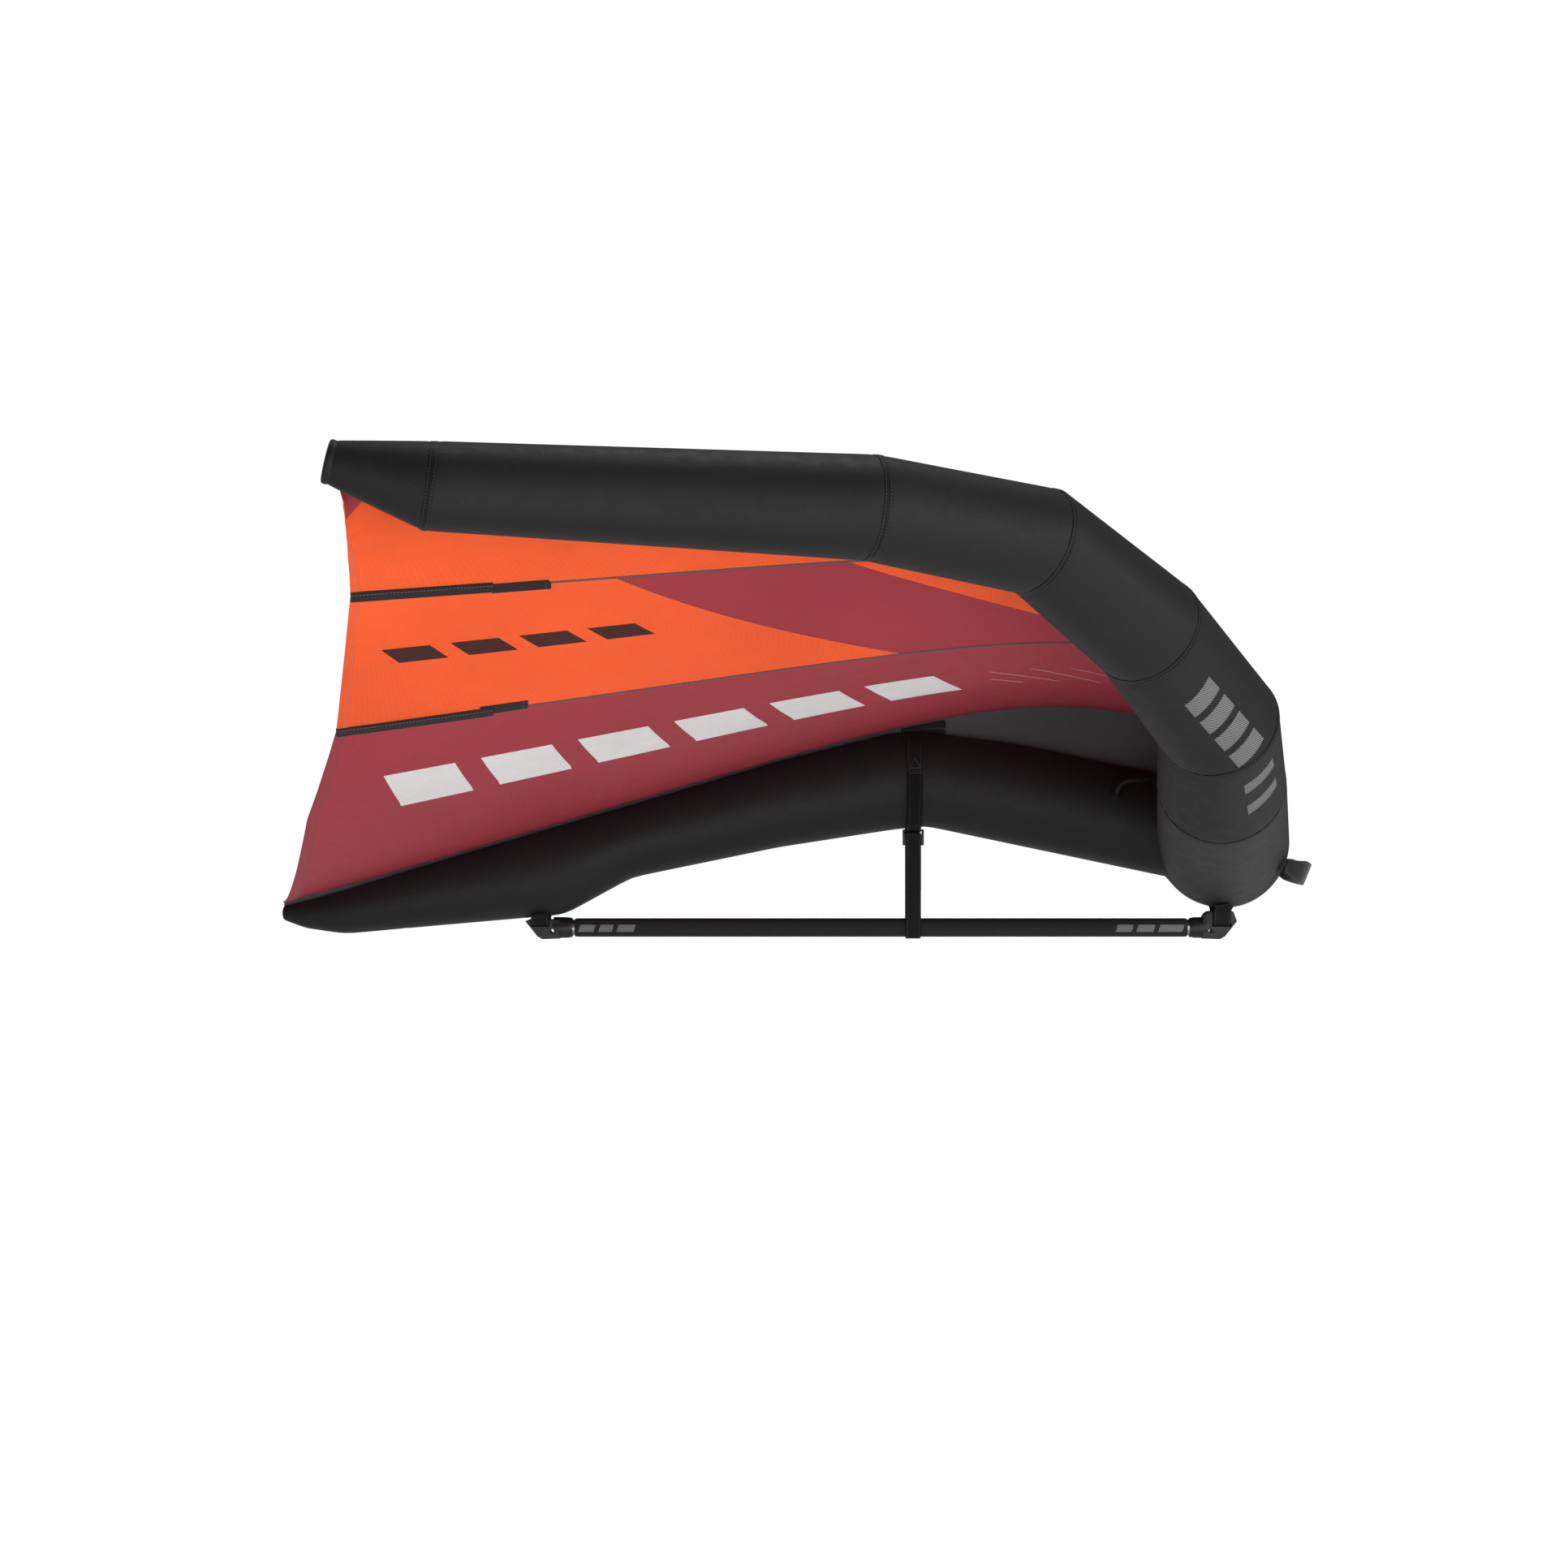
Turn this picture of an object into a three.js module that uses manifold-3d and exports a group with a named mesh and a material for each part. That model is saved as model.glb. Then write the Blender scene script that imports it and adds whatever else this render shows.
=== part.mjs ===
// A hand-held inflatable foil wing with a rigid boom, in millimetres.
// +X points forward to the nose, +Y to the port side and +Z up.
// The origin is on the boom's axis, midway along its grip.
import * as THREE from 'three';
import { ParametricGeometry } from 'three/addons/geometries/ParametricGeometry.js';
import { mergeVertices } from 'three/addons/utils/BufferGeometryUtils.js';
import Module from 'manifold-3d';

const wasm = await Module();
wasm.setup();

// Driving dimensions
const GAP = 0.3;
const CLOTH = 1.5;
const BLADDER_GAP = 1.5;
const FILM = 1;
const TUBE_SIDES = 20;
const SEAT_RISE = 2;
const TIP_SPAN = 6.9;

// Leading edge, from the centre plane to the tip: ring centre, ring radius,
// and seat, the angle round the ring from its outer side up to the canopy seam.
const LEADING_EDGE = [
  { x: 565, y: 0, z: 142, r: 110, seat: 52 },
  { x: 505, y: 400, z: 237, r: 98, seat: 72 },
  { x: 473, y: 590, z: 326, r: 90, seat: 92 },
  { x: 346, y: 790, z: 450, r: 83, seat: 110 },
  { x: 180, y: 960, z: 561, r: 75, seat: 125 },
  { x: -46, y: 1065, z: 596, r: 70, seat: 142 },
  { x: -612, y: 1150, z: 616, r: 58, seat: 168 },
  { x: -737, y: 1170, z: 645, r: 28, seat: 205 },
];

// Trailing edge, where the canopy strip that starts at each leading-edge ring ends,
// with that strip's camber.
const TRAILING_EDGE = [
  { x: -987, y: 0, camber: 295 },
  { x: -872, y: 480, camber: 165 },
  { x: -793, y: 720, camber: 92 },
  { x: -735, y: 985, camber: 62 },
  { x: -731, y: 1022, camber: 40 },
  { x: -729, y: 1050, camber: 16 },
  { x: -726, y: 1078, camber: 0 },
  { x: -721, y: 1142, camber: 0 },
];
const TRAILING_CENTRE_Z = 41;
const TRAILING_RISE = 569;
const TRAILING_POWER = 1.6;
const HALF_SPAN = 1150;

// Strut, from the leading edge back: top and bottom heights and half width.
const STRUT = [
  { x: 516, top: 240, bottom: 74, half: 83 },
  { x: 221, top: 304, bottom: 136, half: 82 },
  { x: 73, top: 323, bottom: 167, half: 78 },
  { x: 20, top: 322, bottom: 161, half: 77 },
  { x: -168, top: 275, bottom: 132, half: 74 },
  { x: -411, top: 203, bottom: 82, half: 70 },
  { x: -522, top: 171, bottom: 21, half: 70 },
  { x: -785, top: 93, bottom: -2, half: 52 },
  { x: -885, top: 62, bottom: -11, half: 41 },
  { x: -959, top: 42, bottom: 0, half: 26 },
  { x: -984, top: 36, bottom: 14, half: 14 },
];

const BOOM_TUBE_R = 13;
const BOOM_WALL = 2;
const BOOM_TUBE_HALF = 536;
const GRIP_R = 15.3;
const GRIP_HALF = 505;
const FITTING_HALF_WIDTH = 16;
const SLOT_Z = 5;
const SLOT_HALF = 3.0;
const MOUNT_BAND_WIDTH = 29;
const MOUNT_X = 561;
const WEBBING = 2.4;
const STRAP_CLEARANCE = 2.4;
const STRAP_X = 53;
const STRAP_WIDTH = 25;

const CLOTH_BLACK = { color: 0x3a3a3b, roughness: 0.72, metalness: 0 };
const CLOTH_ORANGE = { color: 0xfd6236, roughness: 0.6, metalness: 0 };
const CLOTH_MAROON = { color: 0xa83d47, roughness: 0.6, metalness: 0 };
const BLADDER = { color: 0xc9ccc9, roughness: 0.35, metalness: 0 };
const WEBBING_BLACK = { color: 0x262628, roughness: 0.85, metalness: 0 };
const PLASTIC_BLACK = { color: 0x1b1b1d, roughness: 0.45, metalness: 0 };
const GRIP_BLACK = { color: 0x242427, roughness: 0.9, metalness: 0 };
const ALUMINIUM = { color: 0x8f9296, roughness: 0.35, metalness: 1 };
const CARBON_ROD = { color: 0x2a2c2f, roughness: 0.4, metalness: 0 };

const wing = new THREE.Group();

function vec(x, y, z) {
  return new THREE.Vector3(x, y, z);
}

function mix(a, b, share) {
  return a + (b - a) * share;
}

// Welds a geometry's seams, drops its flat triangles and turns its faces outward.
function welded(geometry) {
  const bare = geometry.clone();
  bare.deleteAttribute('normal');
  bare.deleteAttribute('uv');
  const merged = mergeVertices(bare, 0.001);
  const place = merged.attributes.position;
  const corners = [0, 1, 2].map(() => new THREE.Vector3());
  const kept = [];
  let volume = 0;
  for (let i = 0; i < merged.index.count; i += 3) {
    const face = [0, 1, 2].map((k) => merged.index.getX(i + k));
    if (new Set(face).size < 3) {
      continue;
    }
    face.forEach((index, k) => corners[k].fromBufferAttribute(place, index));
    volume += corners[0].dot(corners[1].clone().cross(corners[2]));
    kept.push(face);
  }
  const faces = volume < 0 ? kept.map(([a, b, c]) => [a, c, b]) : kept;
  merged.setIndex(faces.flat());
  return merged;
}

function piece(name, geometry, look, parent = wing) {
  const solid = welded(geometry);
  solid.computeVertexNormals();
  const mesh = new THREE.Mesh(solid, new THREE.MeshStandardMaterial(look));
  mesh.name = name;
  parent.add(mesh);
  return mesh;
}

// Joins rows of points, each row a closed loop of as many points, into one surface.
function loft(rows) {
  const around = rows[0].length;
  const place = (u, v, target) => {
    const row = rows[Math.round(v * (rows.length - 1))];
    target.copy(row[Math.round(u * around) % around]);
  };
  return new ParametricGeometry(place, around, rows.length - 1);
}

function pole(point, like) {
  return like.map(() => point);
}

function manifold(geometry) {
  const solid = welded(geometry);
  const vertProperties = new Float32Array(solid.attributes.position.array);
  const triVerts = new Uint32Array(solid.index.array);
  return new wasm.Manifold(new wasm.Mesh({ numProp: 3, vertProperties, triVerts }));
}

function fromManifold(solid) {
  const mesh = solid.getMesh();
  const geometry = new THREE.BufferGeometry();
  geometry.setAttribute('position', new THREE.BufferAttribute(mesh.vertProperties, 3));
  geometry.setIndex(new THREE.BufferAttribute(mesh.triVerts, 1));
  return geometry;
}

function cut(geometry, ...tools) {
  return fromManifold(tools.reduce((solid, tool) => solid.subtract(manifold(tool)), manifold(geometry)));
}

function join(geometry, ...others) {
  return fromManifold(others.reduce((solid, other) => solid.add(manifold(other)), manifold(geometry)));
}

function box(x0, x1, y0, y1, z0, z1) {
  const geometry = new THREE.BoxGeometry(x1 - x0, y1 - y0, z1 - z0);
  return geometry.translate((x0 + x1) / 2, (y0 + y1) / 2, (z0 + z1) / 2);
}

// A round bar between two points.
function bar(from, to, radius, sides = 16) {
  const geometry = new THREE.CylinderGeometry(radius, radius, from.distanceTo(to), sides);
  const turn = new THREE.Quaternion().setFromUnitVectors(vec(0, 1, 0), to.clone().sub(from).normalize());
  return geometry.applyQuaternion(turn).translate(
    (from.x + to.x) / 2,
    (from.y + to.y) / 2,
    (from.z + to.z) / 2,
  );
}

// A lathed ring or bush on the X axis, from its radius and X profile.
function turned(profile, sides = 24) {
  const points = profile.map(([radius, x]) => new THREE.Vector2(radius, x));
  return new THREE.LatheGeometry(points, sides).rotateZ(-Math.PI / 2);
}

// Leading edge

// A ring's centre and its own axes: along the tube, outward and upward.
function edgeFrame(index) {
  const here = LEADING_EDGE[index];
  const centre = vec(here.x, here.y, here.z);
  const toward = (from, to) =>
    vec(to.x - from.x, to.y - from.y, to.z - from.z).normalize();
  const along = vec(0, 0, 0);
  if (index === 0) {
    along.set(0, 1, 0);
  } else {
    along.add(toward(LEADING_EDGE[index - 1], here));
    if (index < LEADING_EDGE.length - 1) {
      along.add(toward(here, LEADING_EDGE[index + 1]));
    }
    along.normalize();
  }
  const up = vec(0, 0, 1).addScaledVector(along, -along.z).normalize();
  const outward = along.clone().cross(up);
  return { centre, along, outward, up };
}

const EDGE_FRAMES = LEADING_EDGE.map((ring, index) => edgeFrame(index));

function edgePoint(index, degrees, radius) {
  const frame = EDGE_FRAMES[index];
  const angle = THREE.MathUtils.degToRad(degrees);
  return frame.centre.clone()
    .addScaledVector(frame.outward, radius * Math.cos(angle))
    .addScaledVector(frame.up, radius * Math.sin(angle));
}

// One ring of points, moved along the tube by shift.
function edgeRing(index, inset, side, shift = 0) {
  const frame = EDGE_FRAMES[index];
  return Array.from({ length: TUBE_SIDES }, (unused, k) => {
    const point = edgePoint(index, (k * 360) / TUBE_SIDES, LEADING_EDGE[index].r - inset);
    point.addScaledVector(frame.along, shift);
    point.y *= side;
    return point;
  });
}

function edgePanel(index, side) {
  const start = edgeRing(index, 0, side, GAP / 2);
  const end = edgeRing(index + 1, 0, side, -GAP / 2);
  const innerEnd = edgeRing(index + 1, CLOTH, side, -GAP / 2);
  const innerStart = edgeRing(index, CLOTH, side, GAP / 2);
  return loft([start, end, innerEnd, innerStart, start]);
}

// The middle panel runs across the centre plane between the two first rings.
function centrePanel() {
  const outer = [edgeRing(1, 0, -1, -GAP / 2), edgeRing(0, 0, 1), edgeRing(1, 0, 1, -GAP / 2)];
  const inner = [edgeRing(1, CLOTH, 1, -GAP / 2), edgeRing(0, CLOTH, 1), edgeRing(1, CLOTH, -1, -GAP / 2)];
  return loft([...outer, ...inner, outer[0]]);
}

// The bladder's outer or inner surface, closed at both tips.
function edgeBladderBody(inset, tipInset) {
  const last = LEADING_EDGE.length - 1;
  const shift = (index) => (index === last ? -tipInset : 0);
  const half = (side) =>
    LEADING_EDGE.map((ring, index) => edgeRing(index, inset, side, shift(index)));
  const rows = [...half(-1).slice(1).reverse(), ...half(1)];
  const tip = (side) => {
    const point = edgePoint(last, 0, 0);
    point.addScaledVector(EDGE_FRAMES[last].along, shift(last));
    point.y *= side;
    return point;
  };
  return loft([pole(tip(-1), rows[0]), ...rows, pole(tip(1), rows[0])]);
}

// A shallow domed cap of sewn cloth that closes the tip.
function tipCap(side) {
  const last = LEADING_EDGE.length - 1;
  const dome = [0, 1.5, 3].map((rise) => edgeRing(last, rise * rise, side, GAP + rise));
  const frame = EDGE_FRAMES[last];
  const centre = (shift) => {
    const point = frame.centre.clone().addScaledVector(frame.along, shift);
    point.y *= side;
    return point;
  };
  return loft([pole(centre(GAP), dome[0]), ...dome, pole(centre(GAP + 5), dome[0])]);
}

// Strut

function strutRing(station, inset, shift = 0) {
  const middle = (station.top + station.bottom) / 2;
  const rise = (station.top - station.bottom) / 2 - inset;
  return Array.from({ length: TUBE_SIDES }, (unused, k) => {
    const angle = (k * 2 * Math.PI) / TUBE_SIDES;
    const across = (station.half - inset) * Math.cos(angle);
    return vec(station.x + shift, across, middle + rise * Math.sin(angle));
  });
}

function strutPanel(first, last) {
  const stations = STRUT.slice(first, last + 1);
  const shift = (k) => (k === 0 ? -GAP / 2 : k === stations.length - 1 ? GAP / 2 : 0);
  const outer = stations.map((station, k) => strutRing(station, 0, shift(k)));
  const inner = stations.map((station, k) => strutRing(station, CLOTH, shift(k))).reverse();
  return loft([...outer, ...inner, outer[0]]);
}

// The strut's size at any station: asks for top, bottom or half.
function strutSection(x) {
  const station = STRUT.findIndex((one, k) => x <= one.x && x >= STRUT[k + 1].x);
  const share = (STRUT[station].x - x) / (STRUT[station].x - STRUT[station + 1].x);
  return (key) => mix(STRUT[station][key], STRUT[station + 1][key], share);
}

// The strut bladder's outer or inner surface, closed at both ends.
function strutBladderBody(inset, endInset) {
  const last = STRUT.length - 1;
  const shift = (k) => (k === 0 ? -endInset : k === last ? endInset : 0);
  const rows = STRUT.map((station, k) => strutRing(station, inset, shift(k)));
  const end = (k) => vec(STRUT[k].x + shift(k), 0, (STRUT[k].top + STRUT[k].bottom) / 2);
  return loft([pole(end(0), rows[0]), ...rows, pole(end(last), rows[0])]);
}

// The centre of the leading edge as a plain solid, for cutting what butts against it.
function edgeCutter(grow) {
  const rows = [edgeRing(1, -grow, -1), edgeRing(0, -grow, 1), edgeRing(1, -grow, 1)];
  const end = (side) => vec(LEADING_EDGE[1].x, side * LEADING_EDGE[1].y, LEADING_EDGE[1].z);
  return loft([pole(end(-1), rows[0]), ...rows, pole(end(1), rows[0])]);
}

// Canopy

function trailingZ(y) {
  return TRAILING_CENTRE_Z + TRAILING_RISE * (y / HALF_SPAN) ** TRAILING_POWER;
}

function camberShape(chord) {
  return (1 - chord) ** 1.05 - (1 - chord) ** 7;
}

// A point on the canopy: span counts rings from the centre, chord runs 0 to 1 aft.
function canopyPoint(span, chord, side) {
  const inner = Math.min(Math.floor(span), LEADING_EDGE.length - 2);
  const share = span - inner;
  const seat = (index) => edgePoint(index, LEADING_EDGE[index].seat, LEADING_EDGE[index].r + SEAT_RISE);
  const front = seat(inner).lerp(seat(inner + 1), share);
  const backY = mix(TRAILING_EDGE[inner].y, TRAILING_EDGE[inner + 1].y, share);
  const backX = mix(TRAILING_EDGE[inner].x, TRAILING_EDGE[inner + 1].x, share);
  const camber = mix(TRAILING_EDGE[inner].camber, TRAILING_EDGE[inner + 1].camber, share);
  const point = front.lerp(vec(backX, backY, trailingZ(backY)), chord);
  point.z += camber * camberShape(chord);
  point.y = side * Math.max(point.y, GAP / 2);
  return point;
}

// The canopy's upward normal, from its slopes along the span and the chord.
function canopyNormal(span, chord, side) {
  const step = 0.01;
  const along = canopyPoint(Math.min(span + step, 7), chord, side)
    .sub(canopyPoint(Math.max(span - step, 0), chord, side));
  const aft = canopyPoint(span, Math.min(chord + step, 1), side)
    .sub(canopyPoint(span, Math.max(chord - step, 0), side));
  return along.cross(aft).normalize().multiplyScalar(side);
}

const CHORD_STEPS = [0, 0.02, 0.06, 0.12, 0.2, 0.3, 0.42, 0.55, 0.68, 0.8, 0.9, 1];

// One cloth panel of the canopy between two spans, as a thin closed sheet.
function canopyPanel(from, to, steps, side) {
  const rows = [];
  for (let k = 0; k <= steps; k += 1) {
    const span = mix(from, to, k / steps);
    const trim = k === 0 ? GAP / 2 : k === steps ? -GAP / 2 : 0;
    const shifted = (chord, lift) => {
      const point = canopyPoint(span, chord, side).addScaledVector(canopyNormal(span, chord, side), lift);
      point.y = side * Math.max(side * point.y + trim, GAP);
      return point;
    };
    const under = CHORD_STEPS.map((chord) => shifted(chord, 0));
    const over = CHORD_STEPS.map((chord) => shifted(chord, CLOTH)).reverse();
    if (k === 0) {
      rows.push([...under, ...[...under].reverse()]);
    }
    rows.push([...under, ...over]);
    if (k === steps) {
      rows.push([...under, ...[...under].reverse()]);
    }
  }
  return loft(rows);
}

const WEB_CHORDS = [...CHORD_STEPS.slice(1, -1), 0.96];

// The flat cloth web that joins the strut's top to the canopy, deepest behind the leading edge.
function strutWeb() {
  const rise = 2 * GAP;
  const top = WEB_CHORDS.map((chord) => canopyPoint(0, chord, 1));
  const front = top[0].x;
  const back = top[top.length - 1].x;
  const bottom = STRUT.filter((station) => station.x > back).reverse();
  const outline = new THREE.Shape();
  outline.moveTo(back, strutSection(back)('top') + rise);
  bottom.forEach((station) => outline.lineTo(station.x, station.top + rise));
  outline.lineTo(front, STRUT[0].top - 40);
  top.forEach((point) => outline.lineTo(point.x, point.z - rise));
  outline.closePath();
  const plate = new THREE.ExtrudeGeometry(outline, { depth: CLOTH, bevelEnabled: false, steps: 1 });
  plate.rotateX(Math.PI / 2).translate(0, CLOTH / 2, 0);
  return cut(plate, edgeCutter(GAP * 2));
}

// Battens

const BATTEN_REACH = 0.17;
const POCKET_WIDTH = 15;
const POCKET_HEIGHT = 4.2;

// Seats a group under the canopy seam at a span, with X running forward from the hem.
function battenGroup(span, side) {
  const group = new THREE.Group();
  const hem = canopyPoint(span, 1, side);
  const inboard = canopyPoint(span, 1 - BATTEN_REACH, side);
  const neighbour = canopyPoint(span - 0.1, 1 - BATTEN_REACH / 2, side);
  const forward = inboard.clone().sub(hem);
  const length = forward.length();
  forward.normalize();
  const across = neighbour.clone().sub(hem);
  across.addScaledVector(forward, -across.dot(forward)).normalize();
  const normal = forward.clone().cross(across);
  if (normal.z < 0) {
    normal.negate();
    across.negate();
  }
  group.applyMatrix4(new THREE.Matrix4().makeBasis(forward, across, normal));
  group.position.copy(hem).addScaledVector(normal, -POCKET_HEIGHT / 2 - 2.2);
  wing.add(group);
  return { group, length };
}

function batten(name, span, side) {
  const { group, length } = battenGroup(span, side);
  const half = POCKET_WIDTH / 2;
  const rise = POCKET_HEIGHT / 2;
  const shell = box(2, length, -half, half, -rise, rise);
  const room = box(0, length - 2, 1 - half, half - 1, 1 - rise, rise - 1);
  piece(`batten_pocket_${name}`, cut(shell, room), CLOTH_BLACK, group);
  const rod = box(4, length - 6, 2 - half, half - 2, 1.4 - rise, rise - 1.4);
  piece(`batten_${name}`, rod, CARBON_ROD, group);
}

// Boom

function boomTube() {
  const inner = BOOM_TUBE_R - BOOM_WALL;
  const end = BOOM_TUBE_HALF;
  return turned([[inner, -end], [BOOM_TUBE_R, -end], [BOOM_TUBE_R, end], [inner, end], [inner, -end]]);
}

function gripSleeve() {
  const inner = BOOM_TUBE_R + GAP;
  const end = GRIP_HALF;
  const nose = GRIP_R - 1;
  return turned([
    [inner, -end], [nose, -end], [GRIP_R, 6 - end],
    [GRIP_R, end - 6], [nose, end], [inner, end], [inner, -end],
  ]);
}

// A moulded head that sleeves over the tube's end and rises to the cloth above it.
function boomFitting(top) {
  const outline = new THREE.Shape();
  outline.moveTo(544, top);
  outline.quadraticCurveTo(533, top, 529, 12);
  outline.lineTo(529, -17.5);
  outline.lineTo(558, -18.5);
  outline.lineTo(566, -14);
  outline.lineTo(586, 11);
  outline.lineTo(580, top);
  outline.closePath();
  const depth = FITTING_HALF_WIDTH * 2;
  const head = new THREE.ExtrudeGeometry(outline, { depth, bevelEnabled: false, curveSegments: 4 });
  head.rotateX(Math.PI / 2).translate(0, FITTING_HALF_WIDTH, 0);
  const cuff = turned([[0, 509], [15.6, 509], [17, 516], [17.5, 540], [0, 540]]);
  const socketEnd = BOOM_TUBE_HALF + GAP;
  const socketR = BOOM_TUBE_R + GAP;
  const socket = turned([[0, 505], [socketR, 505], [socketR, socketEnd], [0, socketEnd]]);
  const leashHole = bar(vec(542, -30, -5), vec(542, 30, -5), 3.2, 12);
  const slot = box(545, 577, -30, 30, SLOT_Z - SLOT_HALF, SLOT_Z + SLOT_HALF);
  return cut(join(head, cuff), socket, leashHole, slot);
}

// A webbing band sewn under the tube on both sides, which passes through the fitting's slot.
function mountBand(x, shoulder) {
  const side = FITTING_HALF_WIDTH + 2.6;
  const half = [[shoulder.y, shoulder.z], [side + 3, shoulder.rise], [side, SLOT_Z + 6], [side - 3, SLOT_Z]];
  const right = half.map(([y, z]) => new THREE.Vector2(-y, z));
  const left = half.map(([y, z]) => new THREE.Vector2(y, z)).reverse();
  return strip([...right, ...left], WEBBING, MOUNT_BAND_WIDTH, x);
}

// Mid strap

// A webbing strip laid along a route in the Y-Z plane, as wide as the strap.
function strip(route, thickness, width, x) {
  const left = [];
  const right = [];
  route.forEach((point, k) => {
    const before = route[Math.max(k - 1, 0)];
    const after = route[Math.min(k + 1, route.length - 1)];
    const normal = after.clone().sub(before).normalize();
    normal.set(-normal.y, normal.x);
    left.push(point.clone().addScaledVector(normal, thickness / 2));
    right.push(point.clone().addScaledVector(normal, -thickness / 2));
  });
  const outline = new THREE.Shape([...left, ...right.reverse()]);
  const band = new THREE.ExtrudeGeometry(outline, { depth: width, bevelEnabled: false, steps: 1 });
  const turn = new THREE.Matrix4().makeBasis(vec(0, 1, 0), vec(0, 0, 1), vec(1, 0, 0));
  return band.applyMatrix4(turn).translate(x - width / 2, 0, 0);
}

const STRAP_FROM = 58;
const STRAP_TO = -70;
const STRAP_STEPS = 12;

// Points round one side of the strut's section, clear of the cloth.
function roundStrut(side) {
  const ends = [-1, 1].map((end) => strutSection(STRAP_X + (end * STRAP_WIDTH) / 2));
  const top = Math.max(ends[0]('top'), ends[1]('top'));
  const bottom = Math.min(ends[0]('bottom'), ends[1]('bottom'));
  const half = Math.max(ends[0]('half'), ends[1]('half'));
  return Array.from({ length: STRAP_STEPS + 1 }, (unused, k) => {
    const angle = THREE.MathUtils.degToRad(mix(STRAP_FROM, STRAP_TO, k / STRAP_STEPS));
    const across = (half + STRAP_CLEARANCE) * Math.cos(angle);
    const rise = ((top - bottom) / 2 + STRAP_CLEARANCE) * Math.sin(angle);
    return new THREE.Vector2(side * across, (top + bottom) / 2 + rise);
  });
}

const BUCKLE_Z = 149;
const BUCKLE_Y = -12;
const LOOP_R = GRIP_R + 2;

// Sewn to the strut's right side, down to the buckle's upper bar.
function strapUpper() {
  const arc = roundStrut(-1);
  return strip([...arc, new THREE.Vector2(BUCKLE_Y, BUCKLE_Z + 10)], WEBBING, STRAP_WIDTH, STRAP_X);
}

// From the buckle's lower bar, under the boom and up the strut's left side.
function strapLoop() {
  const route = [new THREE.Vector2(BUCKLE_Y, BUCKLE_Z - 10), new THREE.Vector2(1 - LOOP_R, 40)];
  for (let k = 0; k <= 8; k += 1) {
    const angle = Math.PI + (k * Math.PI) / 8;
    route.push(new THREE.Vector2(LOOP_R * Math.cos(angle), LOOP_R * Math.sin(angle)));
  }
  route.push(new THREE.Vector2(LOOP_R, BUCKLE_Z));
  route.push(...roundStrut(1).reverse());
  return strip(route, WEBBING, STRAP_WIDTH, STRAP_X);
}

// The free end of the strap, which hangs over the buckle's face.
function strapTail() {
  const top = new THREE.Vector2(BUCKLE_Y - 8, BUCKLE_Z + 8);
  const bottom = new THREE.Vector2(BUCKLE_Y - 8.5, BUCKLE_Z - 88);
  return strip([top, bottom], WEBBING, STRAP_WIDTH, STRAP_X);
}

const LEVER_Y = BUCKLE_Y + 5;
const LEVER_Z = BUCKLE_Z - 2;
const BUCKLE_HALF = STRAP_WIDTH / 2 + 4.8;

function leverAxis(half, radius, sides) {
  return bar(vec(STRAP_X - half, LEVER_Y, LEVER_Z), vec(STRAP_X + half, LEVER_Y, LEVER_Z), radius, sides);
}

function buckleFrame() {
  const inside = BUCKLE_HALF - 3.4;
  const back = BUCKLE_Y - 5;
  const plate = box(
    STRAP_X - BUCKLE_HALF, STRAP_X + BUCKLE_HALF,
    back, LEVER_Y + 4.5,
    BUCKLE_Z - 13, BUCKLE_Z + 13,
  );
  const room = box(
    STRAP_X - inside, STRAP_X + inside,
    back + 2.4, LEVER_Y + 9,
    BUCKLE_Z - 20, BUCKLE_Z + 10,
  );
  const strapSlot = box(
    STRAP_X - inside, STRAP_X + inside,
    BUCKLE_Y - 7, BUCKLE_Y + 3,
    BUCKLE_Z + 5, BUCKLE_Z + 20,
  );
  return cut(plate, room, strapSlot, leverAxis(BUCKLE_HALF + 5, 2 + GAP, 12));
}

// The cam lever turns on its own pin between the frame's cheeks.
function buckleLever() {
  const half = STRAP_WIDTH / 2 + 0.6;
  const blade = box(
    STRAP_X - half + 1, STRAP_X + half - 1,
    LEVER_Y, LEVER_Y + 2.8,
    LEVER_Z - 22, LEVER_Z,
  );
  return join(leverAxis(half, 3.2, 16), blade, leverAxis(BUCKLE_HALF, 2, 12));
}

// Front handle

const HANDLE_ANGLE = THREE.MathUtils.degToRad(-22);
const HANDLE_HALF = 80;
const HANDLE_HINGE = 100;
const HANDLE_TOP = 146;
const HANDLE_WIDTH = 38;
const HANDLE_THICK = 4;
const HANDLE_SEAT = 87;
const HANDLE_TAB_GAP = 2.5;

// Turns a shape drawn as (distance from the tube's centre, Y) to face down the nose.
function faceHandle(geometry) {
  const outward = vec(Math.cos(HANDLE_ANGLE), 0, Math.sin(HANDLE_ANGLE));
  const sideways = vec(0, 1, 0);
  const turn = new THREE.Matrix4().makeBasis(outward, sideways, outward.clone().cross(sideways));
  return geometry.applyMatrix4(turn).translate(LEADING_EDGE[0].x, 0, LEADING_EDGE[0].z);
}

// The handle is a padded webbing arch across the nose.
function frontHandle() {
  const steps = 16;
  const arch = (grow) => Array.from({ length: steps + 1 }, (unused, k) => {
    const angle = (Math.PI * k) / steps;
    const reach = HANDLE_HALF + grow;
    const bow = Math.sin(angle) ** 0.6;
    const stand = HANDLE_HINGE + (HANDLE_TOP - HANDLE_HINGE + grow) * bow;
    return new THREE.Vector2(stand, -reach * Math.cos(angle));
  });
  const outline = new THREE.Shape([...arch(0), ...arch(-HANDLE_THICK).reverse()]);
  const band = new THREE.ExtrudeGeometry(outline, { depth: HANDLE_WIDTH, bevelEnabled: false, steps: 1 });
  return faceHandle(band.translate(0, 0, -HANDLE_WIDTH / 2));
}

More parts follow.
